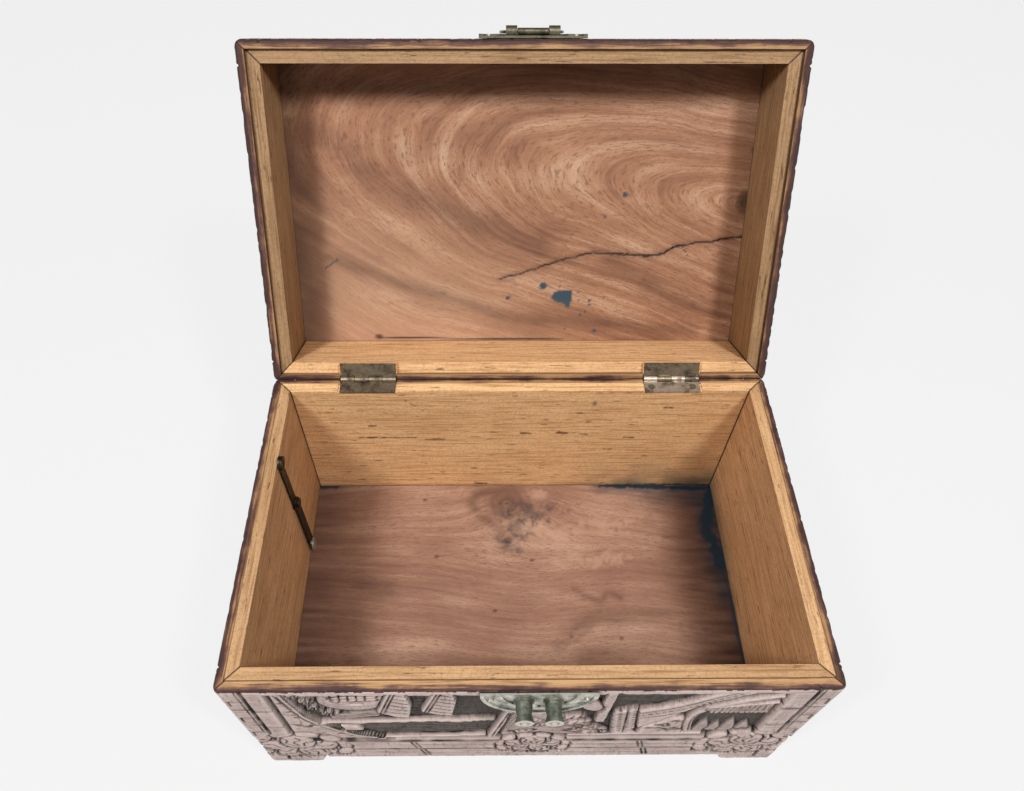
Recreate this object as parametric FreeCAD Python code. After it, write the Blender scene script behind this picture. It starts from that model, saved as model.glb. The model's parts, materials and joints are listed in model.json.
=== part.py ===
import FreeCAD, Part
import math
import os

# A carved wooden keepsake box with its lid standing open, in millimetres, +Z up, front towards -Y.
# Pieces are drawn with the lid shut and the middle of the footprint at zero. At the end the lid is
# swung open, and everything moves so that zero is the middle of the overall bounding box's floor.

V = FreeCAD.Vector
X_AXIS = V(1, 0, 0)
Y_AXIS = V(0, 1, 0)
Z_AXIS = V(0, 0, 1)
SIDES = ("front", "back", "left", "right")

# Carcass
box_length = 300.0
box_depth = 190.0
base_height = 127.5  # ground to the ledge that the lid lands on
board = 12.0  # thickness of the side boards and lid rails
corner_radius = 4.0  # rounded upright corners
foot_height = 8.5
foot_length = 29.0  # flat of each bracket foot, from the corner
floor_level = 20.5  # ground to the floor inside
bottom_thickness = 8.0
groove_depth = 5.0
groove_slack = 0.5  # room for the bottom board to swell
lip_width = 6.5
lip_height = 2.5
lip_chamfer = 0.7

# Carved fields, sunk between plain borders
field_depth = 4.0
field_side_border = 23.0
field_floor_border = 40.0  # from the ground
field_rim_border = 6.0
lid_field_border = 5.5  # above and below the carving on the lid's rails
top_field_depth = 3.5

# Carved forms left standing in the fields
near_form = 0.7  # border's face to the nearest forms
middle_form = 1.4
far_form = 2.2
shore_width = 4.0
shore_rise = 25.0  # field's lower edge to the shore
shore_wave = 3.0
bridge_band = 8.0  # height of an arched bridge's side
branch_width = 4.0
branch_sway = 5.5
blossom_radius = 7.0
long_rail_blossoms = 12
short_rail_blossoms = 6
rail_end_margin = 6.5  # field's end to the outermost blossoms

# Lid
rim_gap = 0.6  # between the ledge and the shut lid
lid_rail_height = 42.5
top_thickness = 11.0
top_edge_radius = 3.0
lip_fit = 0.5  # sideways room between the lip and the lid's rebate
lid_open_angle = 119.0

# Butt hinges
hinge_inset = 58.0  # hinge's middle to the box's end
hinge_length = 33.5
hinge_setback = 2.0  # hinge axis to the back face
leaf_thickness = 1.0
leaf_gap = 0.3  # between the leaves when shut
leaf_fit = 0.15  # around each leaf in its mortise
barrel_radius = 2.0
barrel_clearance = 0.35
knuckle_count = 4
knuckle_gap = 0.3
hinge_pin_radius = 1.0
running_fit = 0.05
lip_end_gap = 1.0  # lip to hinge leaf
land_margin = 0.5  # flat land in the lid's rebate, past each end of the leaf
stop_gap = 0.05  # from each stop bevel to the plane where they meet
leaf_screw_inset = 4.3  # from the leaf's end
screw_head_radius = 2.1
screw_shank_radius = 1.0
screw_length = 9.0
screw_tip = 2.0
slot_width = 0.5
slot_depth = 0.4
seat_fit = 0.03  # around screws, nails and pins in their holes

# Lock
lock_offset = 4.0  # to the right of the middle
plate_radius = 28.0
plate_thickness = 1.2
plate_edge_gap = 0.3
pad_margin = 1.5  # plain wood left around the plate
ring_height = 0.8
inner_ring = (17.5, 21.0)
outer_ring = (26.0, 28.0)
plate_slot_drop = 23.6
plate_slot_length = 5.0
plate_slot_width = 1.6
lock_nail_reach = 22.8
lock_nail_drop = 7.5
nail_head_radius = 1.5
nail_head_height = 0.9
nail_shank_radius = 0.8
nail_length = 9.0
post_spacing = 14.1
post_drop = 10.0  # rim to the posts' axes
post_radius = 4.1
post_reach = 11.8
post_flange_radius = 5.0
post_flange_height = 1.0
post_band_radius = 4.5
post_band_height = 1.3
post_cup_radius = 2.5
post_cup_depth = 1.4
post_tail_radius = 2.0
post_tail_length = 8.0
bar_radius = 2.25
bar_reach = 7.6  # front face to the padlock bar's axis

# Hasp
hasp_axis_reach = 3.2
hasp_axis_rise = 3.5
hasp_knuckle_radius = 2.8
hasp_knuckle_length = 5.7
hasp_knuckle_spacing = 22.2
hasp_side_gap = 0.25
hasp_barrel_radius = 1.7
hasp_pin_radius = 0.9
hasp_thickness = 1.2
hasp_disc_radius = 17.0
hasp_disc_centre = 14.6  # from the hasp's axis
hasp_neck = 4.2
hasp_neck_margin = 0.5
hasp_slot_start = 9.0
hasp_slot_end = 21.4
hasp_slot_clearance = 0.4

# Lid stay on the left wall
stay_setback = 61.5  # wall screw to the back face
stay_drop = 1.0  # rim to the wall screw
stay_upper_length = 44.5
stay_end_rise = 8.5  # floor inside to the end stud's middle
stay_arm_width = 6.5
stay_eye_radius = 4.0
stay_thickness = 1.0
stay_gap = 0.3  # between the wall, the arms and the heads
stay_screw_radius = 1.6
stay_screw_head_radius = 4.0
stay_screw_head_height = 1.2
stay_screw_depth = 5.5
rivet_radius = 1.5
rivet_head_radius = 3.2
rivet_head_height = 0.9
stud_radius = 4.0
stud_height = 1.1
stud_tail = 0.8

# Bamboo pins
pin_radius = 1.25
pin_length = 24.0
pin_sink = 0.4
base_pin_count = 3
base_pin_low = 45.0  # ground to the lowest pin
base_pin_drop = 20.5  # rim to the highest pin
lid_pin_count = 2
lid_pin_low = 12.0  # lid's rim to its lower pins
lid_pin_drop = 15.5  # underside of the top board to its upper pins
top_long_pin_count = 5
top_short_pin_count = 2
top_pin_inset_long = 30.0  # box's end to the outermost pin
top_pin_inset_short = 50.0  # front or back face to the outermost pin
top_pin_length = 30.0

# Places worked out from the sizes above
half_length = box_length / 2
half_depth = box_depth / 2
front_face = -half_depth
lid_rim = base_height + rim_gap
lid_under = lid_rim + lid_rail_height
lid_top = lid_under + top_thickness
hinge_y = half_depth - hinge_setback
hinge_z = base_height + rim_gap / 2
leaf_width = board - hinge_setback
hinge_reach = half_length - hinge_inset
hinge_centres = {"left": -hinge_reach, "right": hinge_reach}
pocket_depth = leaf_thickness + leaf_gap / 2 - rim_gap / 2
hasp_y = front_face - hasp_axis_reach
hasp_z = lid_rim + hasp_axis_rise
post_z = base_height - post_drop
wall_x = -half_length + board
stay_y = half_depth - stay_setback
stay_height = base_height - stay_drop
arm_x = wall_x + stay_gap
lower_arm_x = arm_x + stay_thickness + stay_gap
elbow_z = stay_height - stay_upper_length
stay_end_z = floor_level + stay_end_rise
stay_lower_length = elbow_z - stay_end_z


# Shape helpers

def block(x_span, y_span, z_span):
    """A box between pairs of limits."""
    size = [high - low for low, high in (x_span, y_span, z_span)]
    return Part.makeBox(*size, V(x_span[0], y_span[0], z_span[0]))


def rod(start, direction, radius, length):
    """A round bar from a point along a direction."""
    return Part.makeCylinder(radius, length, start, direction)


def tube(start, direction, outer, inner, length):
    """A round bar with a bore."""
    return rod(start, direction, outer, length).cut(rod(start, direction, inner, length))


def prism(points, direction):
    """A polygon pushed along a direction."""
    return Part.Face(Part.makePolygon(points + points[:1])).extrude(direction)


def joined(shapes):
    """Shapes fused into one solid, without leftover seams."""
    whole = shapes[0].multiFuse(shapes[1:]) if len(shapes) > 1 else shapes[0]
    return whole.removeSplitter()


def evenly(low, high, count):
    """Places spread evenly from a lowest to a highest."""
    return [low + (high - low) * step / (count - 1) for step in range(count)]


def mitred_bar(side, outer, inner, low, high):
    """One side of a mitred frame, between two insets from the outer faces."""
    x_out, y_out = half_length - outer, half_depth - outer
    x_in, y_in = half_length - inner, half_depth - inner
    plan = {
        "front": [(-x_out, -y_out), (x_out, -y_out), (x_in, -y_in), (-x_in, -y_in)],
        "back": [(x_out, y_out), (-x_out, y_out), (-x_in, y_in), (x_in, y_in)],
        "left": [(-x_out, y_out), (-x_out, -y_out), (-x_in, -y_in), (-x_in, y_in)],
        "right": [(x_out, -y_out), (x_out, y_out), (x_in, y_in), (x_in, -y_in)],
    }[side]
    return prism([V(x, y, low) for x, y in plan], V(0, 0, high - low))


def rounded_envelope(low, high):
    """The box's outline with its upright corners rounded."""
    solid = block((-half_length, half_length), (-half_depth, half_depth), (low, high))
    upright = [edge for edge in solid.Edges if abs(edge.tangentAt(edge.FirstParameter).z) > 0.99]
    return solid.makeFillet(corner_radius, upright)


def outer_pocket(side, border, depth, low, high):
    """The sunk field in a side's outer face."""
    across = half_length if side in ("front", "back") else half_depth
    face = half_depth if side in ("front", "back") else half_length
    span = (border - across, across - border)
    skin = (face - depth, face + depth)
    if side in ("front", "left"):
        skin = (-skin[1], -skin[0])
    if side in ("front", "back"):
        return block(span, skin, (low, high))
    return block(skin, span, (low, high))


def lock_pad(level):
    """The plain disc of wood that a lock plate is nailed to."""
    start = V(lock_offset, front_face - field_depth, level)
    return rod(start, Y_AXIS, plate_radius + pad_margin, 2 * field_depth)


def foot_gap(across, through):
    """The opening between two bracket feet along X: a flat apron with an ogee at each end."""
    bend = foot_height / 2
    slant = bend * math.sqrt(0.5)
    start = foot_length - across / 2
    y = -through / 2 - board

    def left(x, z):
        return V(start + x, y, z)

    def right(x, z):
        return V(-start - x, y, z)

    edges = []
    for end in (left, right):
        edges.append(Part.makeLine(end(0, -board), end(0, 0)))
        edges.append(Part.Arc(end(0, 0), end(slant, bend - slant), end(bend, bend)).toShape())
        top = end(2 * bend - slant, bend + slant)
        edges.append(Part.Arc(end(bend, bend), top, end(2 * bend, 2 * bend)).toShape())
    edges.append(Part.makeLine(left(2 * bend, foot_height), right(2 * bend, foot_height)))
    edges.append(Part.makeLine(left(0, -board), right(0, -board)))
    outline = Part.Wire(Part.__sortEdges__(edges))
    return Part.Face(outline).extrude(V(0, through + 2 * board, 0))


# Carving: each form is a depth below the border and an outline, u to the right and v up as seen from outside

def face_point(side, u, v, depth):
    """A point of an outer face, some way inwards."""
    return {
        "front": V(u, depth - half_depth, v),
        "back": V(-u, half_depth - depth, v),
        "left": V(depth - half_length, -u, v),
        "right": V(half_length - depth, u, v),
        "top": V(u, v, lid_top - depth),
    }[side]


def standing(side, forms):
    """Carved forms as blocks that reach past the floor of their field."""
    blocks = []
    for depth, outline in forms:
        points = [face_point(side, u, v, depth) for u, v in outline]
        inward = face_point(side, 0, 0, field_depth + near_form) - face_point(side, 0, 0, depth)
        blocks.append(prism(points, inward))
    return blocks


def moved(outline, u, v):
    """An outline shifted to its place."""
    return [(du + u, dv + v) for du, dv in outline]


def strip(line, width):
    """A band of even height along a line."""
    upper = [(u, v + width / 2) for u, v in line]
    lower = [(u, v - width / 2) for u, v in line]
    return upper + lower[::-1]


def polygon(u, v, radius, rise, count):
    """A flattened ring of points around a middle."""
    turns = [2 * math.pi * n / count for n in range(count)]
    return [(u + radius * math.cos(a), v + rise * math.sin(a)) for a in turns]


def hall(u, v):
    """A pavilion on a bank of rock."""
    bank = [(-26, 0), (26, 0), (22, 26), (-20, 28)]
    wall = [(-13.5, 24), (13.5, 24), (13.5, 52), (-13.5, 52)]
    roof = [(-19.5, 56), (-13.5, 51), (13.5, 51), (19.5, 56), (10, 61), (6.5, 71), (-6.5, 71), (-10, 61)]
    forms = [(middle_form, bank), (far_form, wall), (near_form, roof)]
    return [(depth, moved(outline, u, v)) for depth, outline in forms]


def junk(u, v):
    """A junk under two sails."""
    hull = [(-21, 29), (-14.5, 21), (0, 19), (15.5, 21), (22, 30.5), (11.5, 26), (-12.5, 25.5)]
    main = [(-12.5, 27), (-8, 58.5), (-2, 58.5), (1, 39.5), (-0.5, 27)]
    mizzen = [(2.5, 27), (6.5, 52.5), (12.5, 52.5), (15.5, 37), (14, 27)]
    return [(near_form, moved(outline, u, v)) for outline in (hull, main, mizzen)]


def bridge(u, v):
    """An arched bridge between two banks, under a cloud."""
    forms = []
    for side in (-1, 1):
        bank = [(side * 32, 0), (side * 18, 0), (side * 16, 30), (side * 30, 34)]
        forms.append((middle_form, bank))
    deck = [(-30, 31.5), (-20, 38.5), (-10, 44), (0, 46), (10, 44), (20, 38.5), (30, 31.5)]
    cloud = [(-17, 69), (-9, 67), (9, 67), (17, 69), (10, 76), (0, 77.5), (-10, 76)]
    forms += [(near_form, strip(deck, bridge_band)), (middle_form, cloud)]
    return [(depth, moved(outline, u, v)) for depth, outline in forms]


def pine(u, v):
    """A pine with five fans of needles."""
    bank = [(-17, 0), (15, 0), (9, 22), (-8, 26)]
    trunk = [(-5, 20), (-1, 20), (3.5, 38), (1.5, 56), (5, 72), (1, 72), (-3, 56), (-1, 38)]
    forms = [(middle_form, bank), (middle_form, trunk)]
    for du, dv in ((3, 73), (-7.5, 66.5), (13.5, 64), (-10, 54), (14.5, 50)):
        forms.append((near_form, polygon(du, dv, 7.5, 5.0, 6)))
    return [(depth, moved(outline, u, v)) for depth, outline in forms]


def harbour_forms(side, motifs):
    """A shore along the field with motifs spread over it."""
    across = half_length if side == "back" else half_depth
    inner = across - field_side_border
    low = field_floor_border
    shares = (-1.0, -0.5, 0.0, 0.5, 1.0)
    line = [(n * inner, low + shore_rise + (shore_wave if abs(n) == 0.5 else -shore_wave)) for n in shares]
    forms = [(middle_form, strip(line, shore_width))]
    slot = 2 * inner / len(motifs)
    for n, motif in enumerate(motifs):
        forms += motif(-inner + slot * (n + 0.5), low)
    return forms


def front_forms():
    """Rocks, a boat and two junks' sails left of the lock; leaves, steps and a bridge right of it."""
    rocks = [(-130, 84), (-117, 84), (-114, 64), (-112, 44), (-99, 22), (-84, 10), (-70, -2), (-130, -2)]
    boat = [(-104, 67), (-99, 79), (-90, 84), (-74, 84), (-70, 68), (-75, 56), (-87, 52), (-99, 57)]
    deck = [(-102, 44), (-76, 51), (-75, 40), (-102, 34)]
    near_sail = [(-68.5, 84), (-76.5, 52), (-68, 45), (-60, 43), (-58, 60), (-59.5, 84)]
    next_sail = [(-46.5, 84), (-54.5, 53), (-45.5, 48), (-38, 46), (-35.5, 66), (-36.5, 84)]
    shore = strip([(-106, 33), (-76, 34), (-35, 35), (-18, 38)], shore_width)
    islet = [(-99, 28), (-88, 26), (-86, 18), (-97, 19)]
    left_sill = strip([(-80, 5), (-40, 7), (-22, 8)], shore_width)
    right_sill = strip([(24, 7), (60, 9), (96, 9)], shore_width)
    ramp = [(-11, 55), (-7, 52), (-16, 5), (-21, 5)]
    leaves = [(-8, 50), (14, 42), (33, 43), (42, 21), (52, 8), (-14, 6)]
    gate_post = [(37, 84), (43, 84), (41, 34), (35, 34)]
    steps = [(43, 49), (56, 55), (60, 13), (46, 12)]
    parapet = [(56, 52), (75, 63), (91, 78), (97, 84), (118, 84), (97, 70), (86, 60)]
    abutment = [(84, 38), (86, 10), (60, 10)]
    arch_outside = [(85, 18), (83, 36), (86, 51), (101, 66), (122, 76)]
    arch_inside = [(122, 71), (103, 62), (90, 49), (87, 36), (89, 18)]
    front_hall = [(93, 44), (92, 52), (118, 61), (124, 60), (124, 44)]
    near = (near_sail, next_sail, ramp, gate_post, steps, parapet + abutment, arch_outside + arch_inside)
    middle = (rocks, boat, shore, islet, left_sill, leaves, right_sill)
    far = (deck, front_hall)
    groups = ((near_form, near), (middle_form, middle), (far_form, far))
    low = field_floor_border
    return [(depth, moved(outline, 0, low)) for depth, outlines in groups for outline in outlines]


def rail_forms(side):
    """A prunus branch with blossoms along a lid rail."""
    long_side = side in ("front", "back")
    across = half_length if long_side else half_depth
    reach = across - field_side_border - rail_end_margin
    middle = (lid_rim + lid_under) / 2
    places = evenly(-reach, reach, long_rail_blossoms if long_side else short_rail_blossoms)
    sway = [branch_sway if n % 2 else -branch_sway for n in range(len(places))]
    line = [(u, middle + w) for u, w in zip(places, sway)]
    forms = [(middle_form, strip(line, branch_width))]
    for u, w in zip(places, sway):
        forms.append((near_form, polygon(u, middle - w / 2, blossom_radius, blossom_radius, 6)))
    return forms


def top_forms():
    """A broad harbour under five peaks for the lid's top."""
    forms = []
    for u, v in ((-96, 62), (-58, 52), (10, 64), (62, 50), (104, 60)):
        forms.append((far_form, [(u - 30, -8), (u - 14, v - 26), (u, v), (u + 12, v - 24), (u + 28, -8)]))
    forms += hall(-92, -40) + hall(92, -42)
    forms += junk(36, -66) + junk(-26, -70)
    deck = [(-52, -20), (-37, -10), (-22, -6), (-7, -10), (8, -20)]
    forms.append((near_form, strip(deck, bridge_band)))
    return forms


# Carcass and lid

def stop_bevel(side):
    """The wedge planed off a back edge so that base and lid meet and stop at the open angle."""
    tilt = math.radians(lid_open_angle / 2)
    rim = -rim_gap / 2
    run = (-rim - stop_gap * math.cos(tilt)) / math.sin(tilt)
    near = -stop_gap * math.sin(tilt) + run * math.cos(tilt)
    reach = near + board
    drop = rim - board * math.tan(tilt)
    profile = [(near, rim), (reach, drop), (reach, board), (near, board)]
    points = [V(-half_length - board, hinge_y + y, hinge_z - side * z) for y, z in profile]
    return prism(points, V(box_length + 2 * board, 0, 0))


def hinge_mortise(owner, centre):
    """Wood cleared for one leaf and for the whole barrel."""
    half = hinge_length / 2
    x_span = (centre - half - leaf_fit, centre + half + leaf_fit)
    y_span = (half_depth - board - leaf_fit, hinge_y)
    if owner == "base":
        z_span = (base_height - pocket_depth, lid_rim + lip_height)
    else:
        z_span = (base_height, lid_rim + pocket_depth)
    leaf_room = block(x_span, y_span, z_span)
    start = V(x_span[0] - barrel_clearance, hinge_y, hinge_z)
    length = hinge_length + 2 * (leaf_fit + barrel_clearance)
    return leaf_room.fuse(rod(start, X_AXIS, barrel_radius + barrel_clearance, length))


def corner_pins(heights, grow=0.0):
    """Bamboo pins driven through the mitres from the front and the back, or their holes if grown."""
    pins = []
    for x in (-1, 1):
        for y in (-1, 1):
            for height in heights:
                start = V(x * (half_length - board / 2), y * (half_depth - pin_sink), height)
                pins.append(rod(start, V(0, -y, 0), pin_radius + grow, pin_length))
    return pins


def top_pins(grow=0.0):
    """Bamboo pins that hold the top board on the rails, or their holes if grown."""
    long_reach = half_length - top_pin_inset_long
    short_reach = half_depth - top_pin_inset_short
    along = evenly(-long_reach, long_reach, top_long_pin_count)
    across = evenly(-short_reach, short_reach, top_short_pin_count)
    places = [(x, y * (half_depth - board / 2)) for x in along for y in (-1, 1)]
    places += [(x * (half_length - board / 2), y) for y in across for x in (-1, 1)]
    radius = pin_radius + grow
    return [rod(V(x, y, lid_top - pin_sink), V(0, 0, -1), radius, top_pin_length) for x, y in places]


def base_board(side, holes):
    """One carved side of the base, with its lip, groove, feet and sunk field."""
    wall = mitred_bar(side, 0, board, 0, base_height)
    wall = wall.common(rounded_envelope(0, base_height))
    lip = mitred_bar(side, board - lip_width, board, base_height, base_height + lip_height)
    ridge = [edge for edge in lip.Edges if lip_ridge(edge, side)]
    wall = wall.fuse(lip.makeChamfer(lip_chamfer, ridge))
    groove = mitred_bar(side, board - groove_depth, board, floor_level - bottom_thickness, floor_level)
    field = outer_pocket(
        side, field_side_border, field_depth, field_floor_border, base_height - field_rim_border
    )
    motifs = {
        "back": (pine, hall, junk, bridge),
        "left": (hall, junk),
        "right": (junk, pine, hall),
    }
    forms = front_forms() if side == "front" else harbour_forms(side, motifs[side])
    field = field.cut(standing(side, forms))
    if side == "front":
        field = field.cut(lock_pad(base_height))
    if side in ("front", "back"):
        feet = foot_gap(box_length, box_depth)
    else:
        feet = foot_gap(box_depth, box_length)
        feet.rotate(V(0, 0, 0), Z_AXIS, 90)
    cuts = [groove, field, feet, stop_bevel(-1)] + holes
    if side == "back":
        for centre in hinge_centres.values():
            cuts.append(hinge_mortise("base", centre))
            half = hinge_length / 2 + lip_end_gap
            x_span = (centre - half, centre + half)
            y_span = (half_depth - board - leaf_fit, hinge_y)
            cuts.append(block(x_span, y_span, (base_height, base_height + 2 * lip_height)))
    return wall.cut(cuts).removeSplitter()


def lip_ridge(edge, side):
    """True for the two long edges on top of a lip."""
    on_top = all(vertex.Z > base_height + lip_height / 2 for vertex in edge.Vertexes)
    direction = edge.tangentAt(edge.FirstParameter)
    return on_top and abs(direction.x if side in ("front", "back") else direction.y) > 0.99


def lid_rail(side, holes):
    """One carved side of the lid, with the rebate that drops over the base's lip."""
    rail = mitred_bar(side, 0, board, lid_rim, lid_under)
    rail = rail.common(rounded_envelope(lid_rim, lid_under))
    rebate = mitred_bar(side, board - lip_width - lip_fit, board, lid_rim, lid_rim + lip_height)
    field = outer_pocket(
        side, field_side_border, field_depth, lid_rim + lid_field_border, lid_under - lid_field_border
    )
    field = field.cut(standing(side, rail_forms(side)))
    if side == "front":
        field = field.cut(lock_pad(lid_rim))
    cuts = [field, stop_bevel(1)] + holes
    if side == "back":
        for centre in hinge_centres.values():
            half = hinge_length / 2 + land_margin
            land = block((centre - half, centre + half), (0, half_depth), (lid_rim, lid_under))
            rebate = rebate.cut(land)
            cuts.append(hinge_mortise("lid", centre))
    return rail.cut([rebate] + cuts).removeSplitter()


def lid_board(holes):
    """The carved board on top of the lid."""
    solid = rounded_envelope(lid_under, lid_top)
    rim = [edge for edge in solid.Edges if all(v.Z > lid_top - top_edge_radius for v in edge.Vertexes)]
    solid = solid.makeFillet(top_edge_radius, rim)
    x_reach = half_length - field_side_border
    y_reach = half_depth - field_side_border
    field = block((-x_reach, x_reach), (-y_reach, y_reach), (lid_top - top_field_depth, lid_top))
    field = field.cut(standing("top", top_forms()))
    return solid.cut([field] + holes)


def floor_board():
    """The plain bottom board, held in the grooves."""
    inset = board - groove_depth + groove_slack
    x_reach, y_reach = half_length - inset, half_depth - inset
    z_span = (floor_level - bottom_thickness, floor_level)
    return block((-x_reach, x_reach), (-y_reach, y_reach), z_span)


# Fasteners

def flat_screw(head, direction, grow=0.0):
    """A countersunk wood screw, or its hole if grown."""
    cone_depth = leaf_thickness
    cone = Part.makeCone(
        screw_head_radius + grow, screw_shank_radius + grow, cone_depth, head, direction
    )
    neck = head + direction * cone_depth
    shank_length = screw_length - cone_depth - screw_tip
    shank = rod(neck, direction, screw_shank_radius + grow, shank_length)
    tip_start = neck + direction * shank_length
    tip = Part.makeCone(screw_shank_radius + grow, 0, screw_tip, tip_start, direction)
    return joined([cone, shank, tip])


def slotted(screw, head):
    """The screw with a driver slot across its head."""
    reach = screw_head_radius + slot_width
    slot = Part.makeBox(2 * reach, slot_width, 2 * slot_depth)
    slot.translate(head + V(-reach, -slot_width / 2, -slot_depth))
    return screw.cut(slot)


def leaf_screws(owner):
    """Where the screws of one pair of leaves go: (head, direction)."""
    side = -1 if owner == "base" else 1
    height = hinge_z + side * leaf_gap / 2
    row = hinge_y - (leaf_width + barrel_radius) / 2
    places = []
    for centre in hinge_centres.values():
        for end in (-1, 1):
            x = centre + end * (hinge_length / 2 - leaf_screw_inset)
            places.append((V(x, row, height), V(0, 0, side)))
    return places


def round_nail(seat, grow=0.0):
    """A round-headed nail driven into the front face, or its hole if grown."""
    head = rod(seat, V(0, -1, 0), nail_head_radius, nail_head_height)
    shank = rod(seat, Y_AXIS, nail_shank_radius + grow, nail_length)
    return shank if grow else joined([head, shank])


def lock_nail_seats(level, side):
    """Nail heads' seats on a lock plate."""
    y = front_face - plate_thickness
    z = level + side * lock_nail_drop
    return [V(lock_offset + x * lock_nail_reach, y, z) for x in (-1, 1)]


# Hinges

def knuckle_spans(owner):
    """Start and length of each knuckle that a leaf owns, from the hinge's left end."""
    pitch = hinge_length / knuckle_count
    first = 0 if owner == "base" else 1
    return [(n * pitch + knuckle_gap / 2, pitch - knuckle_gap) for n in range(first, knuckle_count, 2)]


def hinge_leaf(owner, centre):
    """One leaf of a butt hinge with its knuckles and countersunk holes."""
    other = "lid" if owner == "base" else "base"
    side = -1 if owner == "base" else 1
    start_x = centre - hinge_length / 2
    near = hinge_z + side * leaf_gap / 2
    z_span = sorted((near, near + side * leaf_thickness))
    plate = block((start_x, start_x + hinge_length), (hinge_y - leaf_width, hinge_y), z_span)
    rooms = []
    for start, length in knuckle_spans(other):
        place = V(start_x + start - knuckle_gap, hinge_y, hinge_z)
        room = barrel_radius + barrel_clearance
        rooms.append(rod(place, X_AXIS, room, length + 2 * knuckle_gap))
    plate = plate.cut(rooms)
    knuckles = []
    for start, length in knuckle_spans(owner):
        knuckles.append(rod(V(start_x + start, hinge_y, hinge_z), X_AXIS, barrel_radius, length))
    leaf = joined([plate] + knuckles)
    bore = rod(V(start_x, hinge_y, hinge_z), X_AXIS, hinge_pin_radius + running_fit, hinge_length)
    holes = [flat_screw(head, direction, seat_fit) for head, direction in leaf_screws(owner)]
    return leaf.cut([bore] + holes)


def hinge_pin(centre):
    """The pin through one hinge's knuckles."""
    return rod(V(centre - hinge_length / 2, hinge_y, hinge_z), X_AXIS, hinge_pin_radius, hinge_length)


# Lock and hasp

def half_plate(level, side):
    """Half of the round lock plate with its two raised rings, below (-1) or above (1) the rim."""
    start = V(lock_offset, front_face, level)
    out = V(0, -1, 0)
    disc = rod(start, out, plate_radius, plate_thickness)
    rings = []
    for inner, outer in (inner_ring, outer_ring):
        rings.append(tube(start + out * plate_thickness, out, outer, inner, ring_height))
    whole = joined([disc] + rings)
    edge = level + side * plate_edge_gap
    z_span = sorted((edge, edge + side * 2 * plate_radius))
    x_span = (lock_offset - 2 * plate_radius, lock_offset + 2 * plate_radius)
    half = whole.common(block(x_span, (front_face - plate_radius, front_face), z_span))
    nails = [round_nail(seat, seat_fit) for seat in lock_nail_seats(level, side)]
    return half.cut(nails)


def lock_post(x, grow=0.0):
    """A banded brass post with a cupped end, a cross bore and a tail in the wood; its hole if grown."""
    out = V(0, -1, 0)
    seat = V(x, front_face - plate_thickness, post_z)
    tail = rod(seat, Y_AXIS, post_tail_radius + grow, plate_thickness + post_tail_length)
    if grow:
        return tail
    shaft = rod(seat, out, post_radius, post_reach - plate_thickness)
    flange = rod(seat, out, post_flange_radius, post_flange_height)
    end = V(x, front_face - post_reach, post_z)
    band = rod(end, Y_AXIS, post_band_radius, post_band_height)
    cup = rod(end, Y_AXIS, post_cup_radius, post_cup_depth)
    bore_start = V(x - post_flange_radius, front_face - bar_reach, post_z)
    bore = rod(bore_start, X_AXIS, bar_radius, 2 * post_flange_radius)
    return joined([tail, shaft, flange, band]).cut([cup, bore])


def lower_plate(posts):
    """The base's half of the lock plate, with a small slot low in its middle."""
    slot_z = base_height - plate_slot_drop
    half = plate_slot_length / 2
    slot = block(
        (lock_offset - half, lock_offset + half),
        (front_face - board, front_face),
        (slot_z - plate_slot_width / 2, slot_z + plate_slot_width / 2),
    )
    return half_plate(base_height, -1).cut([slot] + posts)


def upper_plate():
    """The lid's half of the lock plate, with the two knuckles that carry the hasp."""
    knuckles = []
    for end in (-1, 1):
        x = lock_offset + end * hasp_knuckle_spacing / 2 - hasp_knuckle_length / 2
        knuckles.append(rod(V(x, hasp_y, hasp_z), X_AXIS, hasp_knuckle_radius, hasp_knuckle_length))
    return joined([half_plate(lid_rim, 1)] + knuckles).cut(hasp_pin(running_fit))


def hasp_pin(grow=0.0):
    """The pin through the hasp and its knuckles, or its bore if grown."""
    length = hasp_knuckle_spacing + hasp_knuckle_length
    return rod(V(lock_offset - length / 2, hasp_y, hasp_z), X_AXIS, hasp_pin_radius + grow, length)


def hasp_slot(x):
    """One upright slot that lets the flap swing over a post."""
    half = post_band_radius + hasp_slot_clearance
    y_span = (hasp_y - hasp_thickness, hasp_y + hasp_thickness)
    low, high = hasp_z + hasp_slot_start + half, hasp_z + hasp_slot_end - half
    ends = [rod(V(x, y_span[0], z), Y_AXIS, half, 2 * hasp_thickness) for z in (low, high)]
    return joined(ends + [block((x - half, x + half), y_span, (low, high))])


def hasp_flap():
    """The hasp thrown back: barrel, neck and round flap with two slots."""
    room = hasp_knuckle_spacing - hasp_knuckle_length - 2 * hasp_side_gap
    barrel = rod(V(lock_offset - room / 2, hasp_y, hasp_z), X_AXIS, hasp_barrel_radius, room)
    y_span = (hasp_y - hasp_thickness / 2, hasp_y + hasp_thickness / 2)
    half_neck = room / 2 - hasp_neck_margin
    disc_z = hasp_z + hasp_disc_centre
    neck = block((lock_offset - half_neck, lock_offset + half_neck), y_span, (hasp_z, disc_z))
    disc = rod(V(lock_offset, y_span[0], disc_z), Y_AXIS, hasp_disc_radius, hasp_thickness)
    x_span = (lock_offset - hasp_disc_radius, lock_offset + hasp_disc_radius)
    disc = disc.common(block(x_span, y_span, (hasp_z + hasp_neck, disc_z + hasp_disc_radius)))
    flap = joined([barrel, neck, disc])
    slots = [hasp_slot(x) for x in post_places()]
    return flap.cut(slots + [hasp_pin(running_fit)])


def post_places():
    """The two posts' places along the front."""
    return [lock_offset + side * post_spacing / 2 for side in (-1, 1)]


# Lid stay

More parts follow.
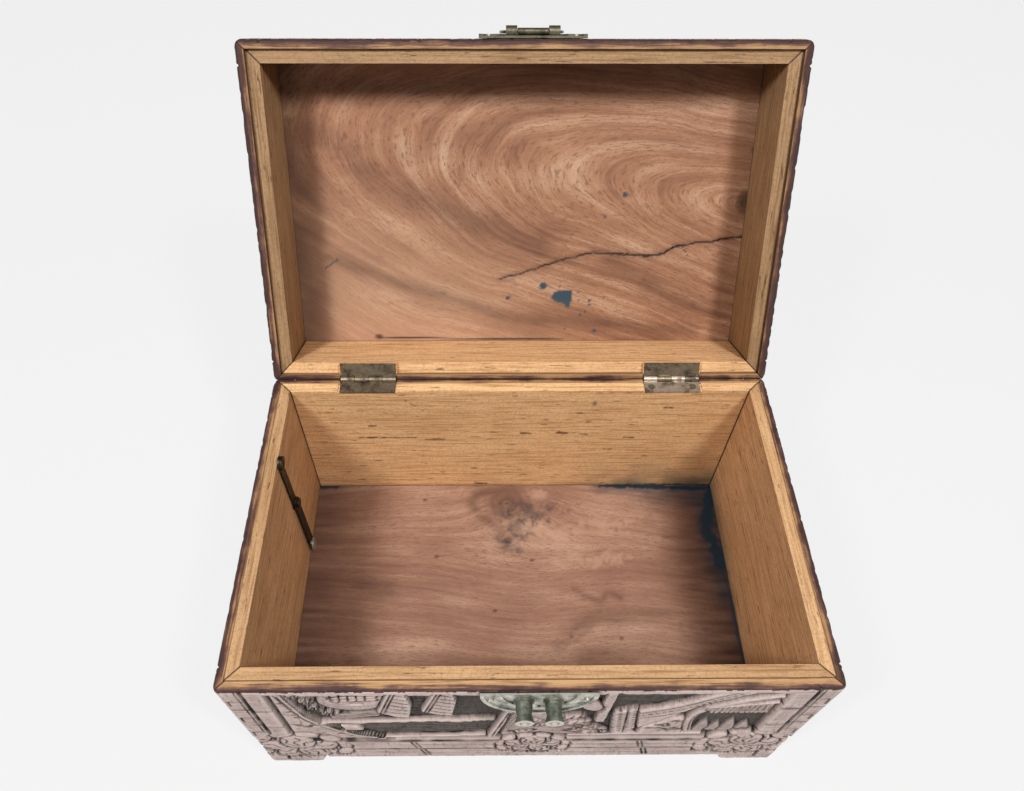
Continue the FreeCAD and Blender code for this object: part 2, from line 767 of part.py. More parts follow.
def stay_arm(x, top, length, top_hole, end_hole):
    """A flat arm hanging from an eye at the top to an eye at its end."""
    ends = [V(x, stay_y, top), V(x, stay_y, top - length)]
    eyes = [rod(end, X_AXIS, stay_eye_radius, stay_thickness) for end in ends]
    half = stay_arm_width / 2
    bar = block((x, x + stay_thickness), (stay_y - half, stay_y + half), (top - length, top))
    radii = (top_hole, end_hole)
    holes = [rod(end, X_AXIS, radius, stay_thickness) for end, radius in zip(ends, radii)]
    return joined(eyes + [bar]).cut(holes)


def wall_screw(grow=0.0):
    """The round-headed screw that the stay turns on, or its hole in the wall if grown."""
    start = V(wall_x - stay_screw_depth, stay_y, stay_height)
    head_x = arm_x + stay_thickness + stay_gap
    shank = rod(start, X_AXIS, stay_screw_radius + grow, head_x - start.x)
    if grow:
        return shank
    head_seat = V(head_x, stay_y, stay_height)
    head = rod(head_seat, X_AXIS, stay_screw_head_radius, stay_screw_head_height)
    slot = block(
        (head_x + stay_screw_head_height - slot_depth, head_x + stay_screw_head_height),
        (stay_y - slot_width / 2, stay_y + slot_width / 2),
        (stay_height - stay_screw_head_radius, stay_height + stay_screw_head_radius),
    )
    return joined([shank, head]).cut(slot)


def elbow_rivet():
    """The rivet that joins the two arms, flush on the wall side."""
    head_x = lower_arm_x + stay_thickness + stay_gap
    shank = rod(V(arm_x, stay_y, elbow_z), X_AXIS, rivet_radius, head_x - arm_x)
    head = rod(V(head_x, stay_y, elbow_z), X_AXIS, rivet_head_radius, rivet_head_height)
    return joined([shank, head])


def end_stud():
    """The round stud on the stay's free end, which hooked on the lid."""
    face = V(lower_arm_x + stay_thickness, stay_y, stay_end_z)
    disc = rod(face, X_AXIS, stud_radius, stud_height)
    shank = rod(face, V(-1, 0, 0), rivet_radius, stay_thickness + stud_tail)
    return joined([disc, shank])


# Assembly

def base_pieces():
    """Every piece that stays still, by node name."""
    heights = evenly(base_pin_low, base_height - base_pin_drop, base_pin_count)
    holes = corner_pins(heights, seat_fit)
    nails = [round_nail(seat, seat_fit) for seat in lock_nail_seats(base_height, -1)]
    tails = [lock_post(x, seat_fit) for x in post_places()]
    screws = leaf_screws("base")
    extra = {
        "front": nails + tails,
        "back": [flat_screw(head, direction, seat_fit) for head, direction in screws],
        "left": [wall_screw(seat_fit)],
        "right": [],
    }
    pieces = {f"{side}_board": base_board(side, holes + extra[side]) for side in SIDES}
    pieces["bottom_board"] = floor_board()
    pieces["base_corner_pins"] = Part.makeCompound(corner_pins(heights))
    for name, centre in hinge_centres.items():
        pieces[f"{name}_hinge_base_leaf"] = hinge_leaf("base", centre)
        pieces[f"{name}_hinge_pin"] = hinge_pin(centre)
    pieces["hinge_base_screws"] = screw_group(screws)
    pieces["lock_lower_plate"] = lower_plate(tails)
    for name, x in zip(("left", "right"), post_places()):
        pieces[f"lock_post_{name}"] = lock_post(x)
    seats = lock_nail_seats(base_height, -1)
    pieces["lock_lower_nails"] = Part.makeCompound([round_nail(seat) for seat in seats])
    pieces["stay_wall_screw"] = wall_screw()
    return pieces


def screw_group(places):
    """A set of slotted screws as one node."""
    return Part.makeCompound([slotted(flat_screw(h, d), h) for h, d in places])


def lid_pieces():
    """Every piece that turns with the lid, drawn shut."""
    heights = evenly(lid_rim + lid_pin_low, lid_under - lid_pin_drop, lid_pin_count)
    holes = corner_pins(heights, seat_fit) + top_pins(seat_fit)
    screws = leaf_screws("lid")
    extra = {
        "front": [round_nail(seat, seat_fit) for seat in lock_nail_seats(lid_rim, 1)],
        "back": [flat_screw(head, direction, seat_fit) for head, direction in screws],
        "left": [],
        "right": [],
    }
    pieces = {f"lid_{side}_rail": lid_rail(side, holes + extra[side]) for side in SIDES}
    pieces["lid_top_board"] = lid_board(top_pins(seat_fit))
    pieces["lid_corner_pins"] = Part.makeCompound(corner_pins(heights))
    pieces["lid_top_pins"] = Part.makeCompound(top_pins())
    for name, centre in hinge_centres.items():
        pieces[f"{name}_hinge_lid_leaf"] = hinge_leaf("lid", centre)
    pieces["hinge_lid_screws"] = screw_group(screws)
    pieces["lock_upper_plate"] = upper_plate()
    seats = lock_nail_seats(lid_rim, 1)
    pieces["lock_upper_nails"] = Part.makeCompound([round_nail(seat) for seat in seats])
    pieces["hasp_pin"] = hasp_pin()
    pieces["hasp"] = hasp_flap()
    return pieces


def stay_pieces():
    """The two hanging arms of the stay."""
    screw_hole = stay_screw_radius + running_fit
    return {
        "stay_upper_arm": stay_arm(
            arm_x, stay_height, stay_upper_length, screw_hole, rivet_radius + seat_fit
        ),
        "stay_elbow_rivet": elbow_rivet(),
        "stay_lower_arm": stay_arm(
            lower_arm_x, elbow_z, stay_lower_length, rivet_radius + running_fit, rivet_radius + seat_fit
        ),
        "stay_end_stud": end_stud(),
    }


pieces = base_pieces()
pieces.update(stay_pieces())
for name, shape in lid_pieces().items():
    shape.rotate(V(0, hinge_y, hinge_z), X_AXIS, -lid_open_angle)
    pieces[name] = shape
outline = Part.makeCompound(list(pieces.values())).optimalBoundingBox()
to_frame = V(-outline.Center.x, -outline.Center.y, -outline.ZMin)
os.makedirs("parts", exist_ok=True)
for name, shape in pieces.items():
    shape.translate(to_frame)
    shape.exportStep(f"parts/{name}.step")
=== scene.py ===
import json
import math

import bmesh
import bpy
import numpy as np
from mathutils import Matrix, Vector


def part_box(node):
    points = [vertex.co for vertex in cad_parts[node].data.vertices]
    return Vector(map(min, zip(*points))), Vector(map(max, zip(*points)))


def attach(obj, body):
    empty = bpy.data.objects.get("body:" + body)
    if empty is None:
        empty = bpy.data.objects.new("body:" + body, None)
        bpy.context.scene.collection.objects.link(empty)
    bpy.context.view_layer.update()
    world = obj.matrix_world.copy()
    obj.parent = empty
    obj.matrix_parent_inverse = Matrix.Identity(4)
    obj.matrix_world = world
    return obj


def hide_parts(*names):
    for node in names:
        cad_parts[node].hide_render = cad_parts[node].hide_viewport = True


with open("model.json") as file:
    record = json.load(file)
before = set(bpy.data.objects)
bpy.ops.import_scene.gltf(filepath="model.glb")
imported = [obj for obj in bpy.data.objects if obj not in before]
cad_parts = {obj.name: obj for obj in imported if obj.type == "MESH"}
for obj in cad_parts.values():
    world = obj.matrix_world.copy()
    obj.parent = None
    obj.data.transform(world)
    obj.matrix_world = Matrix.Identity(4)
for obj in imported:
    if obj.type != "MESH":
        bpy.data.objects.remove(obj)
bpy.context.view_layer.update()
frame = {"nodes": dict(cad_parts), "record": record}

# Sizes of the solids, in millimetres, with the lid shut and the footprint's middle at zero
MM = 0.001
half_length = 150.0
half_depth = 95.0
base_height = 127.5
board = 12.0
lip_inset = 5.5  # outer face to the base's lip
rebate_inset = 5.0  # outer face to the lid's rebate
floor_level = 20.5
lid_rim = 128.1
lid_under = 170.6
lid_top = 181.6
hinge_y = 93.0
hinge_z = 127.8
open_angle = math.radians(119.0)
lock_x = 4.0
pad_radius = 29.5
post_height = 117.5
post_reach = 11.8
post_cup = 1.4  # depth of the cup in a post's end
frame_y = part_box("front_board")[0].y / MM + half_depth

# Carving
field_depth = 3.9
face_skin = 0.15  # the carved face starts this far under the solid's plane
strip_width = 10.5  # fretted strip at each corner
stile_groove = 13.0  # corner to the groove beside the bamboo stile
stile_width = 23.5  # corner to the carved field
corner_round = 4.6
rim_round = 2.6
# painted shade on the seat around each lock plate
seat_shade = 0.7
seat_step = 1.5  # width of the slope around the lock plate's seat
far_off = 99.0  # farther than wear reaches from an edge
weld_distance = 1e-7
sharp_angle = math.radians(48)
carved_reach = 0.9  # a vertex this near to the carved face takes its shares
plain_cavity = 0.1
plug_inset = 22.0  # corner to the block that fills a field before it is carved again
rail_plug_inset = 4.5  # long edge of a lid rail to that block
plug_depth = 5.0
past_back = 2.0
wall_reach = 0.5  # a vertex this near to a wall's inner face takes its marks
wall_skin = 0.03
step_slack = 0.05
foot_top = 10.0
field_low = 42.0
field_high = 121.5


# Places

def turned(points, angle):
    """Points turned about the lid's hinge."""
    y = points[:, 1] - hinge_y
    z = points[:, 2] - hinge_z
    c, s = math.cos(angle), math.sin(angle)
    return np.stack([points[:, 0], hinge_y + c * y - s * z, hinge_z + s * y + c * z], axis=1)


def placed(points, on_lid):
    """From the shut box's millimetres to the scene."""
    if on_lid:
        points = turned(points, -open_angle)
    return (points + (0.0, frame_y, 0.0)) * MM


def shut(points, on_lid):
    """From the scene back to the shut box's millimetres."""
    points = points / MM - (0.0, frame_y, 0.0)
    return turned(points, open_angle) if on_lid else points


def face_points(side, u, v, depth):
    """Points of a face: u runs to the right and v upwards as seen from outside, depth runs inwards."""
    u, v, depth = np.broadcast_arrays(u, v, depth)
    x, y, z = {
        "front": (u, depth - half_depth, v),
        "back": (-u, half_depth - depth, v),
        "left": (depth - half_length, -u, v),
        "right": (half_length - depth, u, v),
        "top": (u, v, lid_top - depth),
        "under": (u, -v, lid_under + depth),
        "floor": (u, v, floor_level - depth),
    }[side]
    return np.stack([x.ravel(), y.ravel(), z.ravel()], axis=1).astype(float)


def face_coordinates(side, points):
    """The reverse of face_points."""
    x, y, z = points.T
    return {
        "front": (x, z, y + half_depth),
        "back": (-x, z, half_depth - y),
        "left": (-y, z, x + half_length),
        "right": (y, z, half_length - x),
        "top": (x, y, lid_top - z),
        "under": (x, -y, z - lid_under),
        "floor": (x, y, floor_level - z),
    }[side]


# Distances in a face

def line_distance(u, v, points):
    """Distance to a line through points."""
    best = np.full(u.shape, np.inf)
    for (u0, v0), (u1, v1) in zip(points[:-1], points[1:]):
        du, dv = u1 - u0, v1 - v0
        t = np.clip(((u - u0) * du + (v - v0) * dv) / max(du * du + dv * dv, 1e-9), 0, 1)
        best = np.minimum(best, np.hypot(u - u0 - t * du, v - v0 - t * dv))
    return best


def inside_distance(u, v, points):
    """Distance to a closed outline, positive inside."""
    ring = list(points) + [points[0]]
    inside = np.zeros(u.shape, bool)
    for (u0, v0), (u1, v1) in zip(ring[:-1], ring[1:]):
        if v0 != v1:
            crossing = u0 + (v - v0) * (u1 - u0) / (v1 - v0)
            inside ^= ((v0 > v) != (v1 > v)) & (u < crossing)
    return np.where(inside, 1.0, -1.0) * line_distance(u, v, ring)


def oval_distance(u, v, centre_u, centre_v, across, along):
    """Distance from an oval's middle, where its edge is at one."""
    return np.hypot((u - centre_u) / across, (v - centre_v) / along)


def rectangle(left, low, right, high):
    """The corners of a rectangle."""
    return [(left, low), (right, low), (right, high), (left, high)]


def toward(angle):
    """A step of length one in a direction."""
    return np.array([math.cos(angle), math.sin(angle)])


def smooth(t):
    """A soft step from 0 to 1."""
    t = np.clip(t, 0, 1)
    return t * t * (3 - 2 * t)


def curve(points, count=24):
    """A smooth line through a few points."""
    points = np.asarray(points, float)
    ends = np.vstack([2 * points[0] - points[1], points, 2 * points[-1] - points[-2]])
    out = []
    for n in range(len(points) - 1):
        a, b, c, d = ends[n:n + 4]
        for t in np.linspace(0, 1, count, endpoint=False):
            out.append(
                0.5 * (2 * b + (c - a) * t + (2 * a - 5 * b + 4 * c - d) * t * t
                       + (3 * b - 3 * c + d - a) * t ** 3)
            )
    out.append(points[-1])
    return out


def mottle(u, v, pitch, seed):
    """Smooth random values from -1 to 1 with a given pitch."""
    rng = np.random.default_rng(seed)
    a, b = u / pitch, v / pitch
    i0, j0 = math.floor(b.min()), math.floor(a.min())
    lattice = rng.uniform(-1, 1, (math.ceil(b.max()) - i0 + 2, math.ceil(a.max()) - j0 + 2))
    i, j = np.floor(b).astype(int), np.floor(a).astype(int)
    p, q = smooth(b - i), smooth(a - j)
    i, j = i - i0, j - j0
    low = lattice[i, j] * (1 - q) + lattice[i, j + 1] * q
    high = lattice[i + 1, j] * (1 - q) + lattice[i + 1, j + 1] * q
    return low * (1 - p) + high * p


def blurred(values, reach):
    """Running mean over a square of cells."""
    for axis in (0, 1):
        width = [(0, 0), (0, 0)]
        width[axis] = (reach + 1, reach)
        total = np.cumsum(np.pad(values, width, mode="edge"), axis=axis)
        size = values.shape[axis]
        ahead = np.take(total, range(2 * reach + 1, 2 * reach + 1 + size), axis=axis)
        values = (ahead - np.take(total, range(size), axis=axis)) / (2 * reach + 1)
    return values


# Carved faces

class Relief:
    """A face's heights over a grid, zero at the uncut face and negative below it."""

    def __init__(self, half, low, high, pitch, seed):
        self.half, self.low, self.high, self.pitch, self.seed = half, low, high, pitch, seed
        self.us = np.linspace(-half - 1, half + 1, round((2 * half + 2) / pitch[0]) + 1)
        self.vs = np.linspace(low - 1, high + 1, round((high - low + 2) / pitch[1]) + 1)
        self.u, self.v = np.meshgrid(self.us, self.vs)
        self.h = np.zeros_like(self.u)
        self.dark = np.zeros_like(self.u)  # stain left in the cuts, and painted shade in the cuts and around raised shapes
        self.rng = np.random.default_rng(seed)

    def patch(self, points, margin):
        """The cells around some points, as (index, u, v)."""
        points = np.asarray(points, float)
        low, high = points.min(0) - margin, points.max(0) + margin
        columns = slice(*np.searchsorted(self.us, (low[0], high[0])))
        rows = slice(*np.searchsorted(self.vs, (low[1], high[1])))
        return (rows, columns), self.u[rows, columns], self.v[rows, columns]

    # Darkens cells in and around the cuts: stain, and painted shade.
    def stain(self, where, share):
        self.dark[where] = np.maximum(self.dark[where], np.clip(share, 0, 1))

    def groove(self, points, width=1.1, depth=0.9):
        """A V cut along a line."""
        where, u, v = self.patch(points, width)
        distance = line_distance(u, v, points)
        self.h[where] -= depth * np.clip(1 - distance * 2 / width, 0, 1)
        self.stain(where, 1.5 - distance * 1.7 / width)

    def lay(self, where, rise, inside):
        """Raises cells to a new clean surface with a dark outline."""
        share = smooth(inside / 0.7)
        old = self.h[where]
        self.h[where] = old + (np.maximum(old, rise) - old) * share
        self.dark[where] *= 1 - share
        self.stain(where, 1.3 - np.abs(inside + 0.25) / 0.75)

    def cut_around(self, where, inside, reach, level):
        """Lowers what a shape will cover, and a little around it."""
        old = self.h[where]
        self.h[where] = np.where(inside > -reach, np.minimum(old, level), old)

    def strand(self, points, width, level, dome=1.0):
        """A raised round strand along a line."""
        where, u, v = self.patch(points, width)
        distance = line_distance(u, v, points)
        t = np.clip(distance * 2 / width, 0, 1)
        self.lay(where, level - dome * (1 - np.sqrt(1 - t * t)), width / 2 - distance)

    def sink(self, points, depth, bevel=2.0):
        """A sunk shape with sloping sides."""
        where, u, v = self.patch(points, 0.0)
        drop = -depth * smooth(inside_distance(u, v, points) / bevel)
        self.h[where] = np.minimum(self.h[where], drop)

    def slab(self, points, level, bevel=1.3, drop=1.1):
        """A raised shape with softened edges and a cut around it."""
        where, u, v = self.patch(points, 1.2)
        inside = inside_distance(u, v, points)
        self.cut_around(where, inside, 1.0, level - 1.5)
        self.lay(where, level - drop * (1 - smooth(inside / bevel)), inside)

    def oval(self, centre, radii, turn, level, dome=1.0):
        """A domed oval with a cut around it."""
        where, u, v = self.patch([centre], max(radii) + 1.0)
        c, s = math.cos(turn), math.sin(turn)
        x, y = u - centre[0], v - centre[1]
        t = np.hypot((c * x + s * y) / radii[0], (c * y - s * x) / radii[1])
        inside = (1 - t) * min(radii)
        self.cut_around(where, inside, 0.8, level - 1.5 * dome)
        t = np.clip(t, 0, 1)
        self.lay(where, level - dome * (1 - np.sqrt(1 - t * t)), inside)

    def leaf(self, start, end, width, level, ribs=3):
        """A pointed leaf with a midrib and side veins."""
        start, end = np.asarray(start, float), np.asarray(end, float)
        along = end - start
        length = np.hypot(*along)
        along /= length
        across = np.array([-along[1], along[0]])
        stations = np.linspace(0, 1, 13)
        swell = width / 2 * np.sin(np.pi * stations) ** 0.8
        edge = [start + along * length * t + across * w for t, w in zip(stations, swell)]
        edge += [start + along * length * t - across * w for t, w in zip(stations[-2:0:-1], swell[-2:0:-1])]
        self.slab(edge, level, bevel=width / 2.4, drop=0.9)
        self.groove([start, end], 0.9, 0.7)
        for rib in range(1, ribs + 1):
            root = start + along * length * (rib / (ribs + 1.5))
            for side in (-1, 1):
                self.groove([root, root + along * length * 0.16 + across * side * width * 0.3], 0.7, 0.4)

    def flower(self, centre, radius, turn, level):
        """A five-petalled blossom with veins and a boss."""
        centre = np.asarray(centre)
        for petal in range(5):
            a = turn + petal * 2 * math.pi / 5
            self.oval(centre + toward(a) * radius * 0.58, (radius * 0.45, radius * 0.40), a, level, 1.3)
            for swing in (-0.3, 0.0, 0.3):
                self.groove([centre + toward(a + swing) * radius * t for t in (0.3, 0.78)], 0.8, 0.5)
        self.oval(centre, (radius * 0.2, radius * 0.2), 0.0, level + 0.1, 0.8)

    def hatch(self, outline, step, angle, depth=0.6, width=0.9):
        """Parallel chisel strokes across a shape."""
        where, u, v = self.patch(outline, 0.0)
        across = u * math.sin(angle) - v * math.cos(angle)
        wander = 0.35 * mottle(u, v, 4.0, self.seed + 5) * step
        phase = np.abs(((across + wander) / step) % 1 - 0.5) * step
        inside = smooth(inside_distance(u, v, outline) / 0.6)
        self.h[where] -= inside * depth * np.clip(1 - phase * 2 / width, 0, 1)
        self.stain(where, inside * (1.0 - phase * 2 / width))

    def dots(self, points, step, radius, depth=0.8):
        """Round punch marks along a line."""
        points = np.asarray(points, float)
        lengths = np.hypot(*np.diff(points, axis=0).T)
        run = np.concatenate([[0], np.cumsum(lengths)])
        for s in np.arange(step / 2, run[-1], step):
            u, v = np.interp(s, run, points[:, 0]), np.interp(s, run, points[:, 1])
            where, gu, gv = self.patch([(u, v)], radius)
            distance = np.hypot(gu - u, gv - v) / radius
            self.h[where] -= depth * np.clip(1 - distance, 0, 1)
            self.stain(where, 1.4 - distance * 1.3)

    def rocks(self, outline, level, strokes=26):
        """A bank of rock with broken chisel strokes."""
        self.slab(outline, level, 2.0, 1.4)
        outline = np.asarray(outline, float)
        low, high = outline.min(0), outline.max(0)
        for _ in range(strokes):
            at = self.rng.uniform(low, high)
            if inside_distance(np.array([[at[0]]]), np.array([[at[1]]]), outline)[0, 0] < 1.5:
                continue
            lean = self.rng.normal(0.0, 0.5)
            reach = self.rng.uniform(2.5, 6.0)
            bend = self.rng.uniform(-1.5, 1.5)
            tip = at + reach * toward(lean)
            self.groove(curve([at, (at + tip) / 2 + (0, bend), tip], 6), 1.3, 1.0)

    def water(self, outline, step=3.2):
        """Rippled water: long wavy ridges."""
        where, u, v = self.patch(outline, 0.0)
        wave = v + 0.9 * np.sin(u / 5.5) + 0.8 * mottle(u, v, 9.0, self.seed + 9)
        ridge = 0.7 * (0.5 + 0.5 * np.cos(wave * 2 * math.pi / step))
        self.h[where] += smooth(inside_distance(u, v, outline) / 1.5) * ridge

    def pine(self, foot, height, lean, level):
        """A pine: crooked trunk and fans of needles."""
        foot = np.asarray(foot, float)
        crown = foot + (lean, height)
        trunk = [foot, foot + (lean * 0.7, height * 0.35), foot + (lean * 0.35, height * 0.7), crown]
        self.strand(curve(trunk, 8), 4.2, level, 1.2)
        for du, dv in ((0.0, 0.0), (-9.0, -6.0), (9.0, -8.0), (-11.0, -17.0), (10.0, -20.0)):
            hub = crown + np.array([du, dv]) * height / 45
            self.oval(hub + (0, 1.5), (7.5, 5.0), 0.0, level + 0.3, 1.0)
            for a in np.linspace(0.15, math.pi - 0.15, 9):
                tip = hub + np.array([6.8 * math.cos(a), 1.0 + 5.2 * math.sin(a)])
                self.groove([hub + (0, -2.0), tip], 0.8, 0.7)

    def pavilion(self, foot, width, height, level):
        """A hall with posts, lattice and a roof with upswept eaves."""
        u, v = foot
        half = width / 2
        wall = v + height * 0.58
        self.slab(rectangle(u - half, v, u + half, wall), level - 1.2, 0.8, 0.6)
        for share in (-0.92, -0.35, 0.35, 0.92):
            self.strand([(u + share * half, v), (u + share * half, wall)], 2.2, level - 0.3, 0.7)
        for n in range(1, 4):
            row = v + (wall - v) * n / 4
            self.groove([(u - half, row), (u + half, row)], 0.8, 0.7)
        for share in np.linspace(-0.8, 0.8, 9):
            self.groove([(u + share * half, v), (u + share * half, wall)], 0.7, 0.5)
        eave = half * 1.45
        roof = [(u - eave, wall + height * 0.10), (u - half, wall - 0.5), (u + half, wall - 0.5)]
        roof += [(u + eave, wall + height * 0.10), (u + half * 0.75, wall + height * 0.22)]
        roof += [(u + half * 0.5, v + height), (u - half * 0.5, v + height)]
        roof += [(u - half * 0.75, wall + height * 0.22)]
        self.slab(roof, level, 1.2, 0.9)
        for share in np.linspace(-0.85, 0.85, 9):
            top = (u + share * half * 0.55, v + height - 1.0)
            self.groove([(u + share * eave * 0.8, wall + 1.0), top], 0.9, 0.6)
        self.strand([(u - half * 0.6, v + height), (u + half * 0.6, v + height)], 2.6, level + 0.2, 0.8)

    def junk(self, keel, size, level):
        """A junk under two battened sails."""
        u, v = keel
        bottom = [(u - size, v + size * 0.42), (u - size * 0.7, v + 1), (u, v - 1), (u + size * 0.75, v + 1)]
        deck = [np.array((u + size * a, v + size * b)) for a, b in ((1.05, 0.5), (0.55, 0.3), (-0.6, 0.26))]
        self.slab(curve(bottom, 6) + deck, level, 1.4, 1.0)
        for n in (0.1, 0.2):
            self.groove([(u - size * 0.75, v + size * n), (u + size * 0.8, v + size * n)], 0.9, 0.6)
        for shift, tall in ((-0.28, 1.5), (0.42, 1.2)):
            self.sail((u + size * shift, v + size * 0.34), size * 0.62, size * tall, level)

    def sail(self, foot, width, height, level):
        """A tall sail, fuller on its right side, with fanned battens."""
        u, v = foot
        luff = [(u - width * 0.5, v), (u - width * 0.18, v + height)]
        leech = [(u + width * 0.3, v + height), (u + width * 0.52, v + height * 0.4), (u + width * 0.4, v)]
        self.slab(luff + curve(leech, 6), level, 1.0, 0.8)
        self.groove([(u - width * 0.36, v + 1), (u - width * 0.08, v + height - 1)], 0.9, 0.7)
        for n in range(1, 7):
            share = n / 7
            left = (u - width * (0.36 - 0.28 * share), v + height * share)
            right = (u + width * 0.5, v + height * (share * 1.05 - 0.12))
            self.groove([left, right], 0.8, 0.6)

    def cloud(self, centre, size, level):
        """A scrolled cloud."""
        puffs = (0, 0, 1.0), (-1.3, -0.3, 0.75), (1.3, -0.25, 0.8), (2.3, -0.5, 0.5), (-2.2, -0.5, 0.5)
        for du, dv, share in puffs:
            u, v, r = centre[0] + du * size, centre[1] + dv * size, share * size
            self.oval((u, v), (r, r * 0.8), 0.0, level, 0.8)
            turns = np.linspace(1.0, 9.0, 40)
            spiral = [(u + r * 0.09 * a * math.cos(a), v + r * 0.07 * a * math.sin(a)) for a in turns]
            self.groove(spiral, 0.9, 0.6)

    def bridge(self, left, right, rise, level):
        """An arched bridge with a dotted parapet."""
        (u0, v0), (u1, v1) = left, right
        t = np.linspace(0, 1, 17)
        deck = [(u0 + (u1 - u0) * s, v0 + (v1 - v0) * s + rise * math.sin(math.pi * s)) for s in t]
        under = [(u, v - 9.0 + 3.0 * math.sin(math.pi * s)) for (u, v), s in zip(deck, t)]
        self.slab(deck + under[::-1], level, 1.0, 0.8)
        self.groove([(u, v - 2.2) for u, v in deck], 0.9, 0.7)
        self.dots([(u, v - 4.6) for u, v in deck], 3.0, 1.0)
        for u, v in deck[2:-2:2]:
            self.strand([(u, v - 1.0), (u, v + 4.0)], 1.6, level, 0.6)
        self.strand([(u, v + 4.2) for u, v in deck[1:-1]], 1.6, level, 0.6)

    def hook(self, side, high, low):
        """A hooked cut of the fret beside a corner."""
        edge, turn = side * (self.half - stile_groove), side * (self.half - 4.5)
        self.groove([(edge + side * 1.5, high), (turn, high), (turn, low)])

    def cane_joint(self, u, v, upright):
        """Two close cuts across a bamboo cane."""
        for shift in (-0.9, 0.9):
            ends = [(-5, shift), (5, shift)] if upright else [(shift, -5), (shift, 5)]
            self.groove([(u + du, v + dv) for du, dv in ends], 0.9, 0.7)

    def border(self):
        """Fretted corners, bamboo stiles and rails around the sunk field of a base board."""
        half = self.half
        inner = half - stile_width
        self.sink(rectangle(-inner, field_low, inner, field_high), field_depth)
        for side in (-1, 1):
            edge, strip = side * (half - stile_groove), side * (half - strip_width)
            self.groove([(edge, 4.0), (edge, base_height)], 1.8, 1.3)
            self.groove([(strip, 60.0), (strip, base_height)], 0.7, 0.3)
            for v in np.arange(22.0, base_height - 6, 26.0):
                self.groove([(side * half, v), (edge, v)], 1.2, 0.9)
                self.hook(side, v + 13, v + 6)
            for v in (70.0, 98.0):
                self.cane_joint(side * (half - (stile_width + stile_groove) / 2), v, True)
        rails = (field_low - 1.0, 2.4, 1.0), (33.0, 0.8, 0.5), (16.0, 0.8, 0.5), (25.0, 1.6, 1.0)
        for v, width, depth in rails:
            self.groove([(-half, v), (half, v)], width, depth)
        for share in (-0.42, 0.42):
            for shift, low, high in ((0.0, 27.0, 39.0), (4.5, 11.0, 23.0)):
                for step in (0.0, 2.4):
                    u = share * half + shift + step
                    self.groove([(u, high), (u + 2.5, low)])

    def peony(self, centre, radius, level=-0.1):
        """A broad blossom: outer oval petals in a ring and large veined inner ones."""
        centre = np.asarray(centre, float)
        for a in np.linspace(-0.35, math.pi + 0.35, 8):
            petal = centre + toward(a) * radius * 0.88
            self.oval(petal, (radius * 0.25, radius * 0.16), a + math.pi / 2, level - 0.2)
        for a, size in ((0.35, 0.40), (2.8, 0.40), (4.1, 0.36), (5.3, 0.36), (1.57, 0.42)):
            petal = centre + toward(a) * radius * 0.38
            self.oval(petal, (radius * size, radius * size * 0.8), a, level, 0.8)
            for swing in (-0.5, 0.0, 0.45):
                ray = toward(a + swing)
                side = np.array([-ray[1], ray[0]]) * radius * 0.07
                bends = (0.2, 0), (0.4, 1), (0.55, -1), (0.7, 0)
                self.groove(curve([centre + ray * radius * t + side * w for t, w in bends], 6), 0.9, 0.7)

    def finish(self, low_round, high_round):
        """Worn edges, rounded corners and tool marks."""
        u, v, seed = self.u, self.v, self.seed
        wear = 0.12 * mottle(u, v, 2.6, seed + 1) + 0.12 * mottle(u, v, 9.0, seed + 2)
        self.h = np.clip(self.h, -field_depth - 0.6, 0.0) - np.abs(wear) - face_skin
        chips = np.clip(mottle(u, v, 3.4, seed + 3) - 0.25, 0, 1)
        from_low = v - self.low + (0 if low_round else far_off)
        rim = np.exp(-np.minimum(self.high - v, from_low).clip(0, far_off) / 2.5)
        self.h -= 1.4 * chips * rim
        for past, radius in (
            (np.abs(u) - self.half, corner_round), (v - self.high, high_round), (self.low - v, low_round)
        ):
            if radius:
                t = np.clip(past + radius, 0, radius)
                self.h -= radius - np.sqrt(radius * radius - t * t)
        around = blurred(self.h, max(2, round(3.0 / self.pitch[0])))
        # Painted shade: hollows and deep fields are darkened, on top of the stain in the cuts.
        hollow = np.clip((around - self.h) / 1.5, 0, 1)
        deep = np.clip((-self.h - 1.7) / 1.8, 0, 1)
        faded = 0.85 + 0.3 * mottle(u, v, 6.0, seed + 4)
        self.stain_and_painted_shade = np.maximum.reduce([1.05 * self.dark * faded, 0.75 * hollow, 0.85 * deep])
        # Raised parts: paled by wear and by a painted highlight.
        self.ridge = np.clip((self.h - around) / 0.9, 0, 1)

    def nearest(self, u, v):
        """Row and column of the cell next to each point."""
        places = []
        for value, grid in ((v, self.vs), (u, self.us)):
            step = np.rint((value - grid[0]) / (grid[1] - grid[0]))
            places.append(np.clip(step, 0, len(grid) - 1).astype(int))
        return tuple(places)


def clear_pad(relief, distance):
    """Leaves the round seat of the lock plate uncut and darkened with painted shade around the plate."""
    share = smooth((distance - pad_radius + seat_step) / seat_step)
    relief.h *= share
    relief.dark = relief.dark * share + seat_shade * (1 - share)


